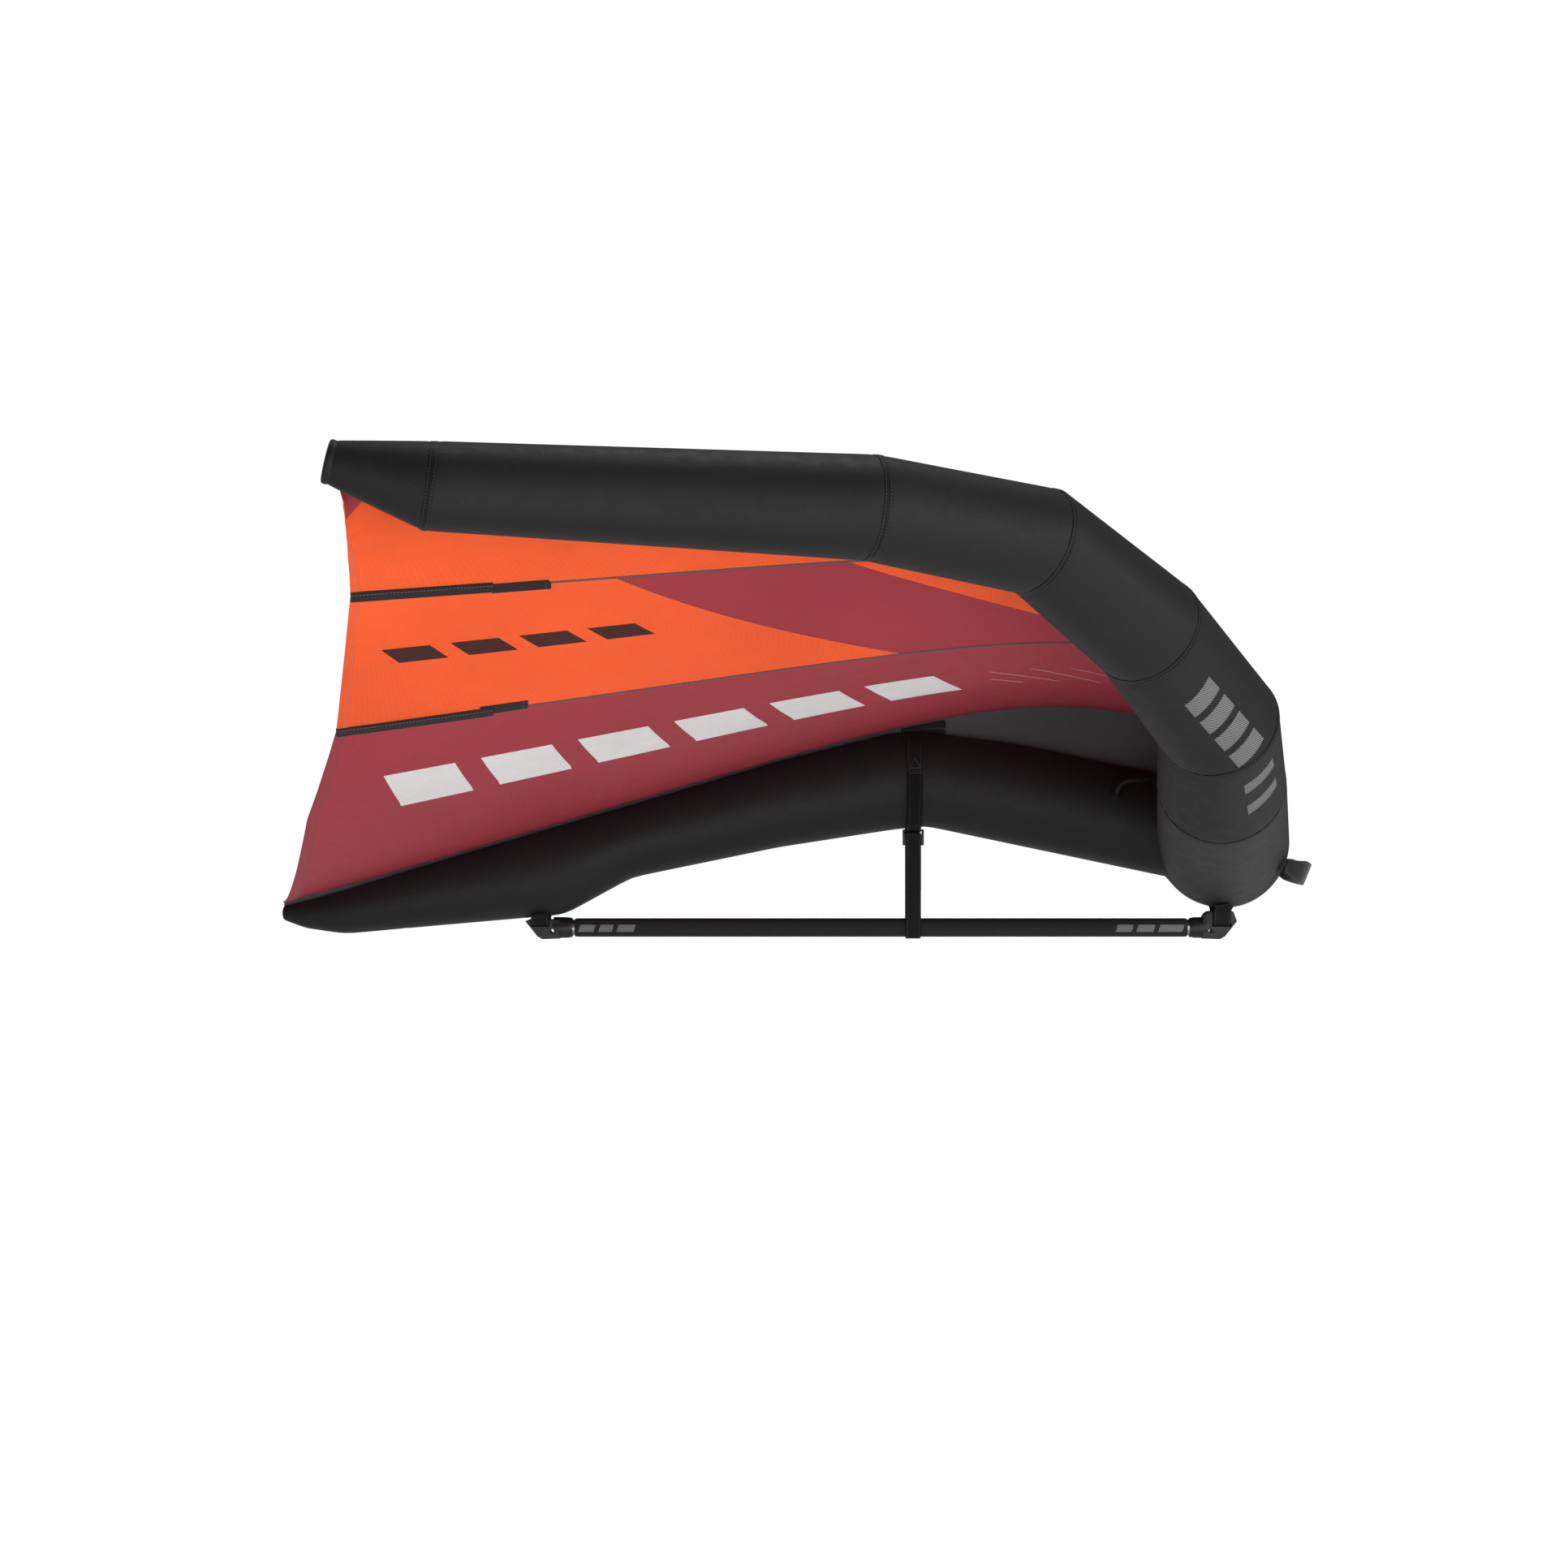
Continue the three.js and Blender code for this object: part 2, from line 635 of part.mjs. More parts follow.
// A sewn webbing tab narrows from the cloth to the handle's end.
function handleTab(side) {
  const outline = new THREE.Shape();
  outline.moveTo(HANDLE_SEAT - 6, -15);
  outline.lineTo(HANDLE_SEAT, -15);
  outline.lineTo(HANDLE_HINGE - HANDLE_TAB_GAP, -2.5);
  outline.lineTo(HANDLE_HINGE - HANDLE_TAB_GAP, 2.5);
  outline.lineTo(HANDLE_SEAT, 15);
  outline.lineTo(HANDLE_SEAT - 6, 15);
  outline.closePath();
  const tab = new THREE.ExtrudeGeometry(outline, { depth: HANDLE_THICK, bevelEnabled: false, steps: 1 });
  const y = side * (HANDLE_HALF - HANDLE_THICK / 2);
  tab.rotateX(Math.PI / 2).translate(0, y + HANDLE_THICK / 2, 0);
  return cut(faceHandle(tab), edgeCutter(2 * GAP));
}

// One-pump hose

const HOSE_R = 5;
const HOSE_ROUTE = [
  vec(379, -89.8, 222.4), vec(379.4, -95, 224.5), vec(381, -99, 231), vec(387, -101, 239),
  vec(397, -101.5, 243.5), vec(411, -101, 245), vec(426, -98, 246), vec(440, -93, 247.5),
  vec(450.5, -88, 248.3), vec(457.6, -86.2, 243.4),
];

function hose() {
  const ring = new THREE.Shape().absarc(0, 0, HOSE_R, 0, 2 * Math.PI, false);
  const extrudePath = new THREE.CatmullRomCurve3(HOSE_ROUTE);
  return new THREE.ExtrudeGeometry(ring, { steps: 16, curveSegments: 5, bevelEnabled: false, extrudePath });
}

// A flanged stub welded to a tube's cloth, that the hose pushes onto.
function hoseStub(foot, tip) {
  const away = tip.clone().sub(foot).normalize();
  const flange = bar(foot, foot.clone().addScaledVector(away, 3), 9, 16);
  const neck = bar(foot, tip, 6.5, 12);
  return join(flange, neck);
}

// Inflation valve

const VALVE_Y = 170;
const VALVE_ANGLE = 10;

// Seats a group on the leading edge's front, with Z out of the cloth and Y along the tube.
function valveGroup() {
  const group = new THREE.Group();
  const share = VALVE_Y / LEADING_EDGE[1].y;
  const along = EDGE_FRAMES[1].centre.clone().sub(EDGE_FRAMES[0].centre).normalize();
  const up = vec(0, 0, 1).addScaledVector(along, -along.z).normalize();
  const outward = along.clone().cross(up);
  const angle = THREE.MathUtils.degToRad(VALVE_ANGLE);
  const normal = outward.multiplyScalar(Math.cos(angle)).addScaledVector(up, Math.sin(angle));
  group.applyMatrix4(new THREE.Matrix4().makeBasis(along.clone().cross(normal), along, normal));
  const radius = mix(LEADING_EDGE[0].r, LEADING_EDGE[1].r, share) + 1.2;
  group.position.lerpVectors(EDGE_FRAMES[0].centre, EDGE_FRAMES[1].centre, share);
  group.position.addScaledVector(normal, radius);
  wing.add(group);
  group.updateMatrixWorld();
  return group;
}

function lathe(profile, sides = 24) {
  const points = profile.map(([radius, z]) => new THREE.Vector2(radius, z));
  return new THREE.LatheGeometry(points, sides).rotateX(Math.PI / 2);
}

// The base is a flanged cup, open at the top, with a lug for the cap's strap.
function valveBase() {
  const cup = lathe([[0, 0], [24, 0], [24, 2.5], [17, 3.5], [17, 10], [14.5, 10], [14.5, 3], [0, 3]]);
  const lug = box(-4, 4, 15, 23, 2, 7);
  return cut(join(cup, lug), lathe([[0, 3], [14.5, 3], [14.5, 12], [0, 12]]), capAxis(2));
}

function capAxis(radius) {
  return bar(vec(-9, 21, 7.5), vec(9, 21, 7.5), radius + GAP, 12);
}

// The plug cap hinges on its strap's eye at the base's lug.
function valveCap() {
  const plug = lathe([[0, 4.5], [13.6, 4.5], [13.6, 10.4], [18.5, 10.4], [18.5, 13], [0, 13]]);
  const strap = box(-3.4, 3.4, 16, 21, 10.6, 12.2);
  return join(plug, strap);
}

// Build the wing

for (const [word, side] of [['right', -1], ['left', 1]]) {
  for (let k = 1; k < LEADING_EDGE.length - 1; k += 1) {
    piece(`le_panel_${k}_${word}`, edgePanel(k, side), CLOTH_BLACK);
  }
  piece(`le_tip_cap_${word}`, tipCap(side), CLOTH_BLACK);
  piece(`canopy_inner_${word}`, canopyPanel(0, 2, 12, side), CLOTH_MAROON);
  piece(`canopy_middle_${word}`, canopyPanel(2, 3, 6, side), CLOTH_ORANGE);
  piece(`canopy_tip_${word}`, canopyPanel(3, TIP_SPAN, 26, side), CLOTH_ORANGE);
  batten(`inner_${word}`, 2, side);
  batten(`outer_${word}`, 3, side);
}

piece('boom_tube', boomTube(), ALUMINIUM);
piece('boom_grip', gripSleeve(), GRIP_BLACK);
piece('boom_fitting_front', boomFitting(27), PLASTIC_BLACK);
piece('boom_fitting_rear', boomFitting(13.5).rotateZ(Math.PI), PLASTIC_BLACK);
piece('mount_band_front', mountBand(MOUNT_X, { y: 44, z: 37, rise: 30 }), WEBBING_BLACK);
piece('mount_band_rear', mountBand(-MOUNT_X, { y: 42, z: 22, rise: 12 }), WEBBING_BLACK);

piece('strap_upper', strapUpper(), WEBBING_BLACK);
piece('strap_loop', strapLoop(), WEBBING_BLACK);
piece('strap_tail', strapTail(), WEBBING_BLACK);
piece('buckle_frame', buckleFrame(), PLASTIC_BLACK);
piece('buckle_lever', buckleLever(), PLASTIC_BLACK);
piece('front_handle', frontHandle(), WEBBING_BLACK);
piece('handle_tab_right', handleTab(-1), WEBBING_BLACK);
piece('handle_tab_left', handleTab(1), WEBBING_BLACK);

const valve = valveGroup();
const edgeHoles = [
  bar(vec(0, 0, -20), vec(0, 0, 2), 10, 12).applyMatrix4(valve.matrixWorld),
  bar(vec(483, -86, 221), vec(468, -86, 234.4), 4, 12),
];
const outerInset = CLOTH + BLADDER_GAP;
const innerInset = outerInset + FILM;
piece('le_panel_centre', cut(centrePanel(), ...edgeHoles), CLOTH_BLACK);
const edgeSkin = edgeBladderBody(outerInset, 4);
const edgeRoom = edgeBladderBody(innerInset, 6);
piece('le_bladder', cut(edgeSkin, edgeRoom, ...edgeHoles), BLADDER);

const strutHole = bar(vec(379, -68, 213), vec(379, -78, 217.5), 4, 12);
piece('strut_front', cut(strutPanel(0, 2), edgeCutter(GAP * 2), strutHole), CLOTH_BLACK);
piece('strut_middle', strutPanel(2, 5), CLOTH_BLACK);
piece('strut_rear', strutPanel(5, 7), CLOTH_BLACK);
piece('strut_tail', strutPanel(7, 10), CLOTH_BLACK);
const strutSkin = cut(strutBladderBody(outerInset, -2), edgeCutter(GAP * 2));
const strutRoom = cut(strutBladderBody(innerInset, -4), edgeCutter(GAP * 2 + FILM));
piece('strut_bladder', cut(strutSkin, strutRoom, strutHole), BLADDER);
piece('strut_web', strutWeb(), CLOTH_BLACK);

piece('hose', hose(), PLASTIC_BLACK);
piece('hose_stub_strut', hoseStub(vec(379, -78.2, 217.6), vec(379, -89.3, 222)), PLASTIC_BLACK);
piece('hose_stub_edge', hoseStub(vec(469, -86, 233.5), vec(460, -86, 241.2)), PLASTIC_BLACK);
piece('valve_base', valveBase(), PLASTIC_BLACK, valve);
piece('valve_cap', valveCap(), PLASTIC_BLACK, valve);

export default wing;
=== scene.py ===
import math

import bmesh
import bpy
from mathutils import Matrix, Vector


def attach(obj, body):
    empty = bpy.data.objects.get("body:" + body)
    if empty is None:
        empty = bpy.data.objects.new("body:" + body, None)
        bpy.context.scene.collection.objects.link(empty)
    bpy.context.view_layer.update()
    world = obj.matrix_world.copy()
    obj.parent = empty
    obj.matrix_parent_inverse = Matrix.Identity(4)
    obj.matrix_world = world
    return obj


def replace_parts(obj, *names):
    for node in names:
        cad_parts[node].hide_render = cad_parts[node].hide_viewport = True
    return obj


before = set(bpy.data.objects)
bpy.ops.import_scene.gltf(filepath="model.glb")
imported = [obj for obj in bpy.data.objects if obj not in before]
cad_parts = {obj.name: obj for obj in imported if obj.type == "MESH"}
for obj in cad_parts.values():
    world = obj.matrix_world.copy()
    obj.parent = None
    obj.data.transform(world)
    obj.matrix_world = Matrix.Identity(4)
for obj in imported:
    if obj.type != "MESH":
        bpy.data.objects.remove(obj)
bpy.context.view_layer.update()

# Camera and studio
# The wing hangs in the air at hand height, seen from its right side. The studio is a flat pale floor
# that reads white to the camera, with wide soft lamps in front, at the nose, above, low down and behind.
camera = bpy.data.objects.new("camera", bpy.data.cameras.new("camera"))
bpy.context.collection.objects.link(camera)
camera.location = (-0.160, -5.0, 0.237)
camera.rotation_euler = (math.radians(90), 0, 0)
camera.data.lens = 69.5
camera.data.sensor_width = 36
camera.data.clip_end = 60
bpy.context.scene.camera = camera
bpy.context.scene.view_settings.view_transform = "Standard"

FLOOR_Z = -1.15
FLOOR_HALF = 28.0
FLOOR_GLOW = 0.24
SKY_GLOW = 0.06


def plain(name, colour, roughness):
    material = bpy.data.materials.new(name)
    material.use_nodes = True
    shader = material.node_tree.nodes["Principled BSDF"]
    shader.inputs["Base Color"].default_value = (*colour, 1)
    shader.inputs["Roughness"].default_value = roughness
    return material, shader


def studio_floor():
    mesh = bpy.data.meshes.new("studio_floor")
    corners = [(-1, -1), (1, -1), (1, 1), (-1, 1)]
    mesh.from_pydata([(x * FLOOR_HALF, y * FLOOR_HALF, FLOOR_Z) for x, y in corners], [], [(0, 1, 2, 3)])
    floor = bpy.data.objects.new("studio_floor", mesh)
    bpy.context.collection.objects.link(floor)
    material, shader = plain("pale_floor", (0.80, 0.80, 0.80), 0.9)
    shader.inputs["Emission Color"].default_value = (1, 1, 1, 1)
    shader.inputs["Emission Strength"].default_value = FLOOR_GLOW
    tree = material.node_tree
    bright = tree.nodes.new("ShaderNodeEmission")
    rays = tree.nodes.new("ShaderNodeLightPath")
    choose = tree.nodes.new("ShaderNodeMixShader")
    tree.links.new(rays.outputs["Is Camera Ray"], choose.inputs["Fac"])
    tree.links.new(shader.outputs[0], choose.inputs[1])
    tree.links.new(bright.outputs[0], choose.inputs[2])
    tree.links.new(choose.outputs[0], tree.nodes["Material Output"].inputs["Surface"])
    mesh.materials.append(material)


def lamp(name, place, target, size, power):
    light = bpy.data.lights.new(name, "AREA")
    light.shape = "DISK"
    light.size = size
    light.energy = power
    holder = bpy.data.objects.new(name, light)
    holder.location = place
    holder.rotation_euler = (Vector(target) - Vector(place)).to_track_quat("-Z", "Y").to_euler()
    bpy.context.collection.objects.link(holder)


def studio_sky():
    world = bpy.data.worlds.new("studio")
    world.use_nodes = True
    bpy.context.scene.world = world
    tree = world.node_tree
    tree.nodes.clear()
    rays = tree.nodes.new("ShaderNodeLightPath")
    glow = tree.nodes.new("ShaderNodeBackground")
    seen = tree.nodes.new("ShaderNodeBackground")
    glow.inputs["Strength"].default_value = SKY_GLOW
    seen.inputs["Strength"].default_value = 1.0
    for shade in (glow, seen):
        shade.inputs["Color"].default_value = (1, 1, 1, 1)
    choose = tree.nodes.new("ShaderNodeMixShader")
    out = tree.nodes.new("ShaderNodeOutputWorld")
    tree.links.new(rays.outputs["Is Camera Ray"], choose.inputs["Fac"])
    tree.links.new(glow.outputs[0], choose.inputs[1])
    tree.links.new(seen.outputs[0], choose.inputs[2])
    tree.links.new(choose.outputs[0], out.inputs["Surface"])


studio_floor()
studio_sky()
lamp("front_lamp", (2.2, -4.8, 0.4), (-0.1, 0, 0.35), 3.6, 88)
lamp("nose_lamp", (4.6, -2.4, 1.2), (0.4, 0, 0.3), 2.2, 100)
lamp("top_lamp", (0.3, 0.6, 5.0), (0, 0, 0.3), 3.0, 72)
lamp("low_lamp", (-0.5, -2.8, -1.05), (-0.4, -0.3, 0.4), 2.4, 34)
lamp("back_lamp", (-3.6, 4.2, 2.0), (0, 0, 0.3), 3.0, 20)

# Leading edge
# The inflated front tube is a sleeve of heavy woven polyester, cut in tapered panels that are
# lap-seamed ring to ring, so that the straight panels turn the tube back towards each tip.
EDGE_RINGS = [
    (0.565, 0.000, 0.142, 0.110, 52), (0.505, 0.400, 0.237, 0.098, 72),
    (0.473, 0.590, 0.326, 0.090, 92), (0.346, 0.790, 0.450, 0.083, 110),
    (0.180, 0.960, 0.561, 0.075, 125), (-0.046, 1.065, 0.596, 0.070, 142),
    (-0.612, 1.150, 0.616, 0.058, 168), (-0.737, 1.170, 0.645, 0.028, 205),
]
SIDES = {"right": -1, "left": 1}
TUBE_ROUND = 96
PANEL_STEP = 0.012
SLEEVE_BLACK = (0.0135, 0.0135, 0.0140)
TAPE_BLACK = (0.0085, 0.0085, 0.0088)
SEAM_TAPE_WIDTH = 0.011
SEAM_TAPE_RISE = 0.0006


def mix(a, b, share):
    return a + (b - a) * share


def node_group(name, inputs, outputs):
    tree = bpy.data.node_groups.new(name, "ShaderNodeTree")
    for label, kind, value in inputs:
        socket = tree.interface.new_socket(label, in_out="INPUT", socket_type=kind)
        socket.default_value = value
    for label, kind in outputs:
        tree.interface.new_socket(label, in_out="OUTPUT", socket_type=kind)
    return tree, tree.nodes.new("NodeGroupInput"), tree.nodes.new("NodeGroupOutput")


def put(tree, kind, settings=None, **inputs):
    """Adds a node. An input is a plain value or another node's output socket."""
    made = tree.nodes.new(kind)
    for key, value in (settings or {}).items():
        setattr(made, key, value)
    for key, value in inputs.items():
        slot = made.inputs[int(key[1:])] if key[0] == "_" else made.inputs[key.replace("_", " ")]
        if isinstance(value, bpy.types.NodeSocket):
            tree.links.new(value, slot)
        else:
            slot.default_value = value
    return made


def maths(tree, operation, *values):
    inputs = {f"_{k}": value for k, value in enumerate(values)}
    return put(tree, "ShaderNodeMath", {"operation": operation}, **inputs).outputs[0]


def ramp(tree, value, low, high, out_low=0.0, out_high=1.0):
    inputs = {"Value": value, "From_Min": low, "From_Max": high, "To_Min": out_low, "To_Max": out_high}
    return put(tree, "ShaderNodeMapRange", **inputs).outputs["Result"]


def tinted(tree, colour, amount):
    """A colour made lighter or darker by a value round 1."""
    grey = put(tree, "ShaderNodeCombineColor", Red=amount, Green=amount, Blue=amount).outputs[0]
    settings = {"data_type": "RGBA", "blend_type": "MULTIPLY"}
    return put(tree, "ShaderNodeMix", settings, _0=1.0, _6=colour, _7=grey).outputs[2]


def woven_cloth_group():
    """Thread by thread weave, a ripstop grid, faint creases and handling marks, from a UV map in metres."""
    tree, given, out = node_group(
        "woven_cloth",
        [("Colour", "NodeSocketColor", (0.5, 0.5, 0.5, 1)), ("Threads", "NodeSocketFloat", 900.0),
         ("Grid", "NodeSocketFloat", 160.0), ("Grid Depth", "NodeSocketFloat", 0.5),
         ("Roughness", "NodeSocketFloat", 0.6), ("Crease", "NodeSocketFloat", 0.5)],
        [("Colour", "NodeSocketColor"), ("Roughness", "NodeSocketFloat"), ("Normal", "NodeSocketVector")],
    )
    uv = put(tree, "ShaderNodeUVMap").outputs["UV"]
    place = put(tree, "ShaderNodeTexCoord").outputs["Object"]
    split = put(tree, "ShaderNodeSeparateXYZ", Vector=uv).outputs
    threads = given.outputs["Threads"]
    waves = [maths(tree, "SINE", maths(tree, "MULTIPLY", axis, threads)) for axis in split[:2]]
    weave = maths(tree, "MULTIPLY", *waves)
    lines = []
    for axis in split[:2]:
        cell = maths(tree, "FRACT", maths(tree, "MULTIPLY", axis, given.outputs["Grid"]))
        from_line = maths(tree, "ABSOLUTE", maths(tree, "SUBTRACT", cell, 0.5))
        lines.append(ramp(tree, from_line, 0.05, 0.11, 1.0, 0.0))
    grid = maths(tree, "MULTIPLY", maths(tree, "MAXIMUM", *lines), given.outputs["Grid Depth"])
    cloudy = put(tree, "ShaderNodeTexNoise", Vector=place, Scale=5.0, Detail=3.0).outputs["Fac"]
    marks = put(tree, "ShaderNodeTexNoise", Vector=place, Scale=46.0, Detail=5.0,
                Roughness=0.65).outputs["Fac"]
    folds = put(tree, "ShaderNodeTexNoise", Vector=place, Scale=13.0, Detail=2.0,
                Distortion=0.9).outputs["Fac"]
    shade = maths(tree, "ADD", ramp(tree, cloudy, 0.3, 0.7, 0.94, 1.05),
                  ramp(tree, marks, 0.3, 0.7, -0.025, 0.025))
    shade = maths(tree, "SUBTRACT", shade, maths(tree, "MULTIPLY", grid, 0.07))
    shade = maths(tree, "ADD", shade, maths(tree, "MULTIPLY", weave, 0.03))
    rough = maths(tree, "ADD", given.outputs["Roughness"], ramp(tree, marks, 0.3, 0.7, -0.06, 0.06))
    height = maths(tree, "ADD", maths(tree, "MULTIPLY", weave, 0.00006),
                   maths(tree, "MULTIPLY", grid, 0.00012))
    creases = maths(tree, "MULTIPLY", maths(tree, "MULTIPLY", folds, 0.004), given.outputs["Crease"])
    bump = put(tree, "ShaderNodeBump", Strength=1.0, Distance=1.0, Height=maths(tree, "ADD", height, creases))
    tree.links.new(tinted(tree, given.outputs["Colour"], shade), out.inputs["Colour"])
    tree.links.new(rough, out.inputs["Roughness"])
    tree.links.new(bump.outputs["Normal"], out.inputs["Normal"])
    return tree


def stitch_group():
    """Rows of thread stitches along U, at plus and minus Row from V = 0."""
    tree, given, out = node_group(
        "stitches",
        [("Pitch", "NodeSocketFloat", 0.005), ("Row", "NodeSocketFloat", 0.004)],
        [("Mask", "NodeSocketFloat")],
    )
    split = put(tree, "ShaderNodeSeparateXYZ", Vector=put(tree, "ShaderNodeUVMap").outputs["UV"]).outputs
    dash = maths(tree, "FRACT", maths(tree, "DIVIDE", split[0], given.outputs["Pitch"]))
    dash = ramp(tree, maths(tree, "ABSOLUTE", maths(tree, "SUBTRACT", dash, 0.5)), 0.30, 0.38, 1.0, 0.0)
    off = maths(tree, "SUBTRACT", maths(tree, "ABSOLUTE", split[1]), given.outputs["Row"])
    row = ramp(tree, maths(tree, "ABSOLUTE", off), 0.0003, 0.0006, 1.0, 0.0)
    tree.links.new(maths(tree, "MULTIPLY", dash, row), out.inputs["Mask"])
    return tree


WOVEN = woven_cloth_group()
STITCHES = stitch_group()


def cloth(name, colour, roughness=0.62, crease=0.5, grid_depth=0.4, sheen=0.05, gloss=0.12, stitch_row=None,
          thread=0.10):
    """Woven cloth, with two rows of stitches where stitch_row is given."""
    material = bpy.data.materials.new(name)
    material.use_nodes = True
    tree = material.node_tree
    shader = tree.nodes["Principled BSDF"]
    weave = put(tree, "ShaderNodeGroup", {"node_tree": WOVEN}, Colour=(*colour, 1), Roughness=roughness,
                Crease=crease, Grid_Depth=grid_depth)
    shade = weave.outputs["Colour"]
    if stitch_row is not None:
        rows = put(tree, "ShaderNodeGroup", {"node_tree": STITCHES}, Row=stitch_row)
        blend = {"data_type": "RGBA", "blend_type": "MIX"}
        shade = put(tree, "ShaderNodeMix", blend, _0=rows.outputs["Mask"], _6=shade,
                    _7=(thread, thread, thread, 1)).outputs[2]
    tree.links.new(shade, shader.inputs["Base Color"])
    tree.links.new(weave.outputs["Roughness"], shader.inputs["Roughness"])
    tree.links.new(weave.outputs["Normal"], shader.inputs["Normal"])
    shader.inputs["Sheen Weight"].default_value = sheen
    shader.inputs["Sheen Roughness"].default_value = 0.5
    shader.inputs["Specular IOR Level"].default_value = gloss
    return material


def lofted(name, rows, around, along, closed, material):
    """A grid of points as a smooth mesh, with a UV map in metres: U along the rows, V round or across."""
    wide = len(rows[0])
    faces, corners = [], []
    for i in range(len(rows) - 1):
        for j in range(wide if closed else wide - 1):
            k = (j + 1) % wide
            faces.append((i * wide + j, i * wide + k, (i + 1) * wide + k, (i + 1) * wide + j))
            corners += [(along[i], around[j]), (along[i], around[j + 1]),
                        (along[i + 1], around[j + 1]), (along[i + 1], around[j])]
    mesh = bpy.data.meshes.new(name)
    mesh.from_pydata([point for row in rows for point in row], [], faces)
    layer = mesh.uv_layers.new(name="UVMap")
    for loop, corner in enumerate(corners):
        layer.data[loop].uv = corner
    mesh.materials.append(material)
    return show(name, mesh)


def show(name, mesh, sharp=35):
    work = bmesh.new()
    work.from_mesh(mesh)
    bmesh.ops.remove_doubles(work, verts=work.verts, dist=1e-6)
    bmesh.ops.recalc_face_normals(work, faces=work.faces)
    work.to_mesh(mesh)
    work.free()
    mesh.polygons.foreach_set("use_smooth", [True] * len(mesh.polygons))
    mesh.set_sharp_from_angle(angle=math.radians(sharp))
    piece = bpy.data.objects.new(name, mesh)
    bpy.context.collection.objects.link(piece)
    return piece


def edge_frame(index):
    here = Vector(EDGE_RINGS[index][:3])
    if index == 0:
        along = Vector((0, 1, 0))
    else:
        along = (here - Vector(EDGE_RINGS[index - 1][:3])).normalized()
        if index < len(EDGE_RINGS) - 1:
            along += (Vector(EDGE_RINGS[index + 1][:3]) - here).normalized()
        along.normalize()
    up = (Vector((0, 0, 1)) - along * along.z).normalized()
    return here, along, along.cross(up), up


EDGE_FRAMES = [edge_frame(index) for index in range(len(EDGE_RINGS))]


def edge_point(index, angle, radius, shift=0.0):
    centre, along, outward, up = EDGE_FRAMES[index]
    return centre + along * shift + radius * (outward * math.cos(angle) + up * math.sin(angle))


def mirrored(point, side):
    return Vector((point.x, point.y * side, point.z))


def sleeve_radius(index, angle, from_start, to_end):
    """How far the cloth stands in from the true cone, pinched at the seams with short puckers beside."""
    near = min(from_start, to_end) if index else to_end
    pinch = -0.0011 * math.exp(-near / 0.006)
    pucker = math.cos(31 * angle + 1.7 * index) + 0.6 * math.cos(47 * angle + 0.9 * index)
    inner = 0.35 + 0.65 * max(0.0, -math.cos(angle))
    long_wave = 0.0003 * math.cos(5 * angle + 2.1 * index)
    return pinch + 0.0006 * inner * pucker * math.exp(-near / 0.022) + long_wave - 0.0006


def sleeve_point(index, side, share, angle, lift=0.0):
    """A point on a panel's cloth: share runs from its first ring to its last, angle goes round it."""
    first, last = EDGE_RINGS[index], EDGE_RINGS[index + 1]
    length = (Vector(last[:3]) - Vector(first[:3])).length
    point = edge_point(index, angle, first[3]).lerp(edge_point(index + 1, angle, last[3]), share)
    out = (point - Vector(first[:3]).lerp(Vector(last[:3]), share)).normalized()
    trim = sleeve_radius(index, angle, share * length, (1 - share) * length)
    return mirrored(point + out * (trim + lift), side)


def sleeve_panel(index, side):
    first, last = EDGE_RINGS[index], EDGE_RINGS[index + 1]
    length = (Vector(last[:3]) - Vector(first[:3])).length
    steps = max(8, round(length / PANEL_STEP))
    angles = [2 * math.pi * k / TUBE_ROUND for k in range(TUBE_ROUND)]
    rows = [[sleeve_point(index, side, k / steps, angle) for angle in angles] for k in range(steps + 1)]
    radius = (first[3] + last[3]) / 2
    around = [2 * math.pi * radius * k / TUBE_ROUND for k in range(TUBE_ROUND + 1)]
    return rows, around, [length * k / steps for k in range(steps + 1)]


def ring_tape(index, side, name):
    """The lap seam's tape, a thin raised band round the tube with two rows of stitches."""
    radius = EDGE_RINGS[index][3]
    half = SEAM_TAPE_WIDTH / 2
    profile = [(-half, -0.0008), (-half * 0.93, SEAM_TAPE_RISE), (0, SEAM_TAPE_RISE),
               (half * 0.93, SEAM_TAPE_RISE), (half, -0.0008), (-half, -0.0008)]
    rows = []
    for k in range(TUBE_ROUND + 1):
        angle = 2 * math.pi * k / TUBE_ROUND
        row = []
        for shift, rise in profile:
            point = edge_point(index, angle, radius + rise - 0.0010, 0)
            point += tape_slope(index, angle, shift)
            row.append(mirrored(point, side))
        rows.append(row)
    along = [2 * math.pi * radius * k / TUBE_ROUND for k in range(TUBE_ROUND + 1)]
    across = [shift for shift, rise in profile]
    return lofted(name, rows, across, along, False, SEAM_TAPE)


def tape_slope(index, angle, shift):
    """A step of length shift along the tube's surface from a seam, towards the ring before or after."""
    neighbour = index + (1 if shift > 0 else -1)
    here = edge_point(index, angle, EDGE_RINGS[index][3])
    there = edge_point(neighbour, angle, EDGE_RINGS[neighbour][3])
    return (there - here).normalized() * abs(shift)


SLEEVE = cloth("sleeve_cloth", SLEEVE_BLACK, roughness=0.58, crease=0.10, grid_depth=0.2, sheen=0.03,
               gloss=0.20)
SEAM_TAPE = cloth("seam_tape", TAPE_BLACK, roughness=0.55, crease=0.0, grid_depth=0.0,
                  stitch_row=0.0035, thread=0.05)


def centre_sleeve():
    """The middle panel runs from seam to seam across the nose, with a soft crown at the centre plane."""
    right = sleeve_panel(0, -1)[0]
    left, around, along = sleeve_panel(0, 1)
    rows = [*reversed(right), *left[1:]]
    lengths = [*(-step for step in reversed(along)), *along[1:]]
    return lofted("sleeve_panel_centre", rows, around, lengths, True, SLEEVE)


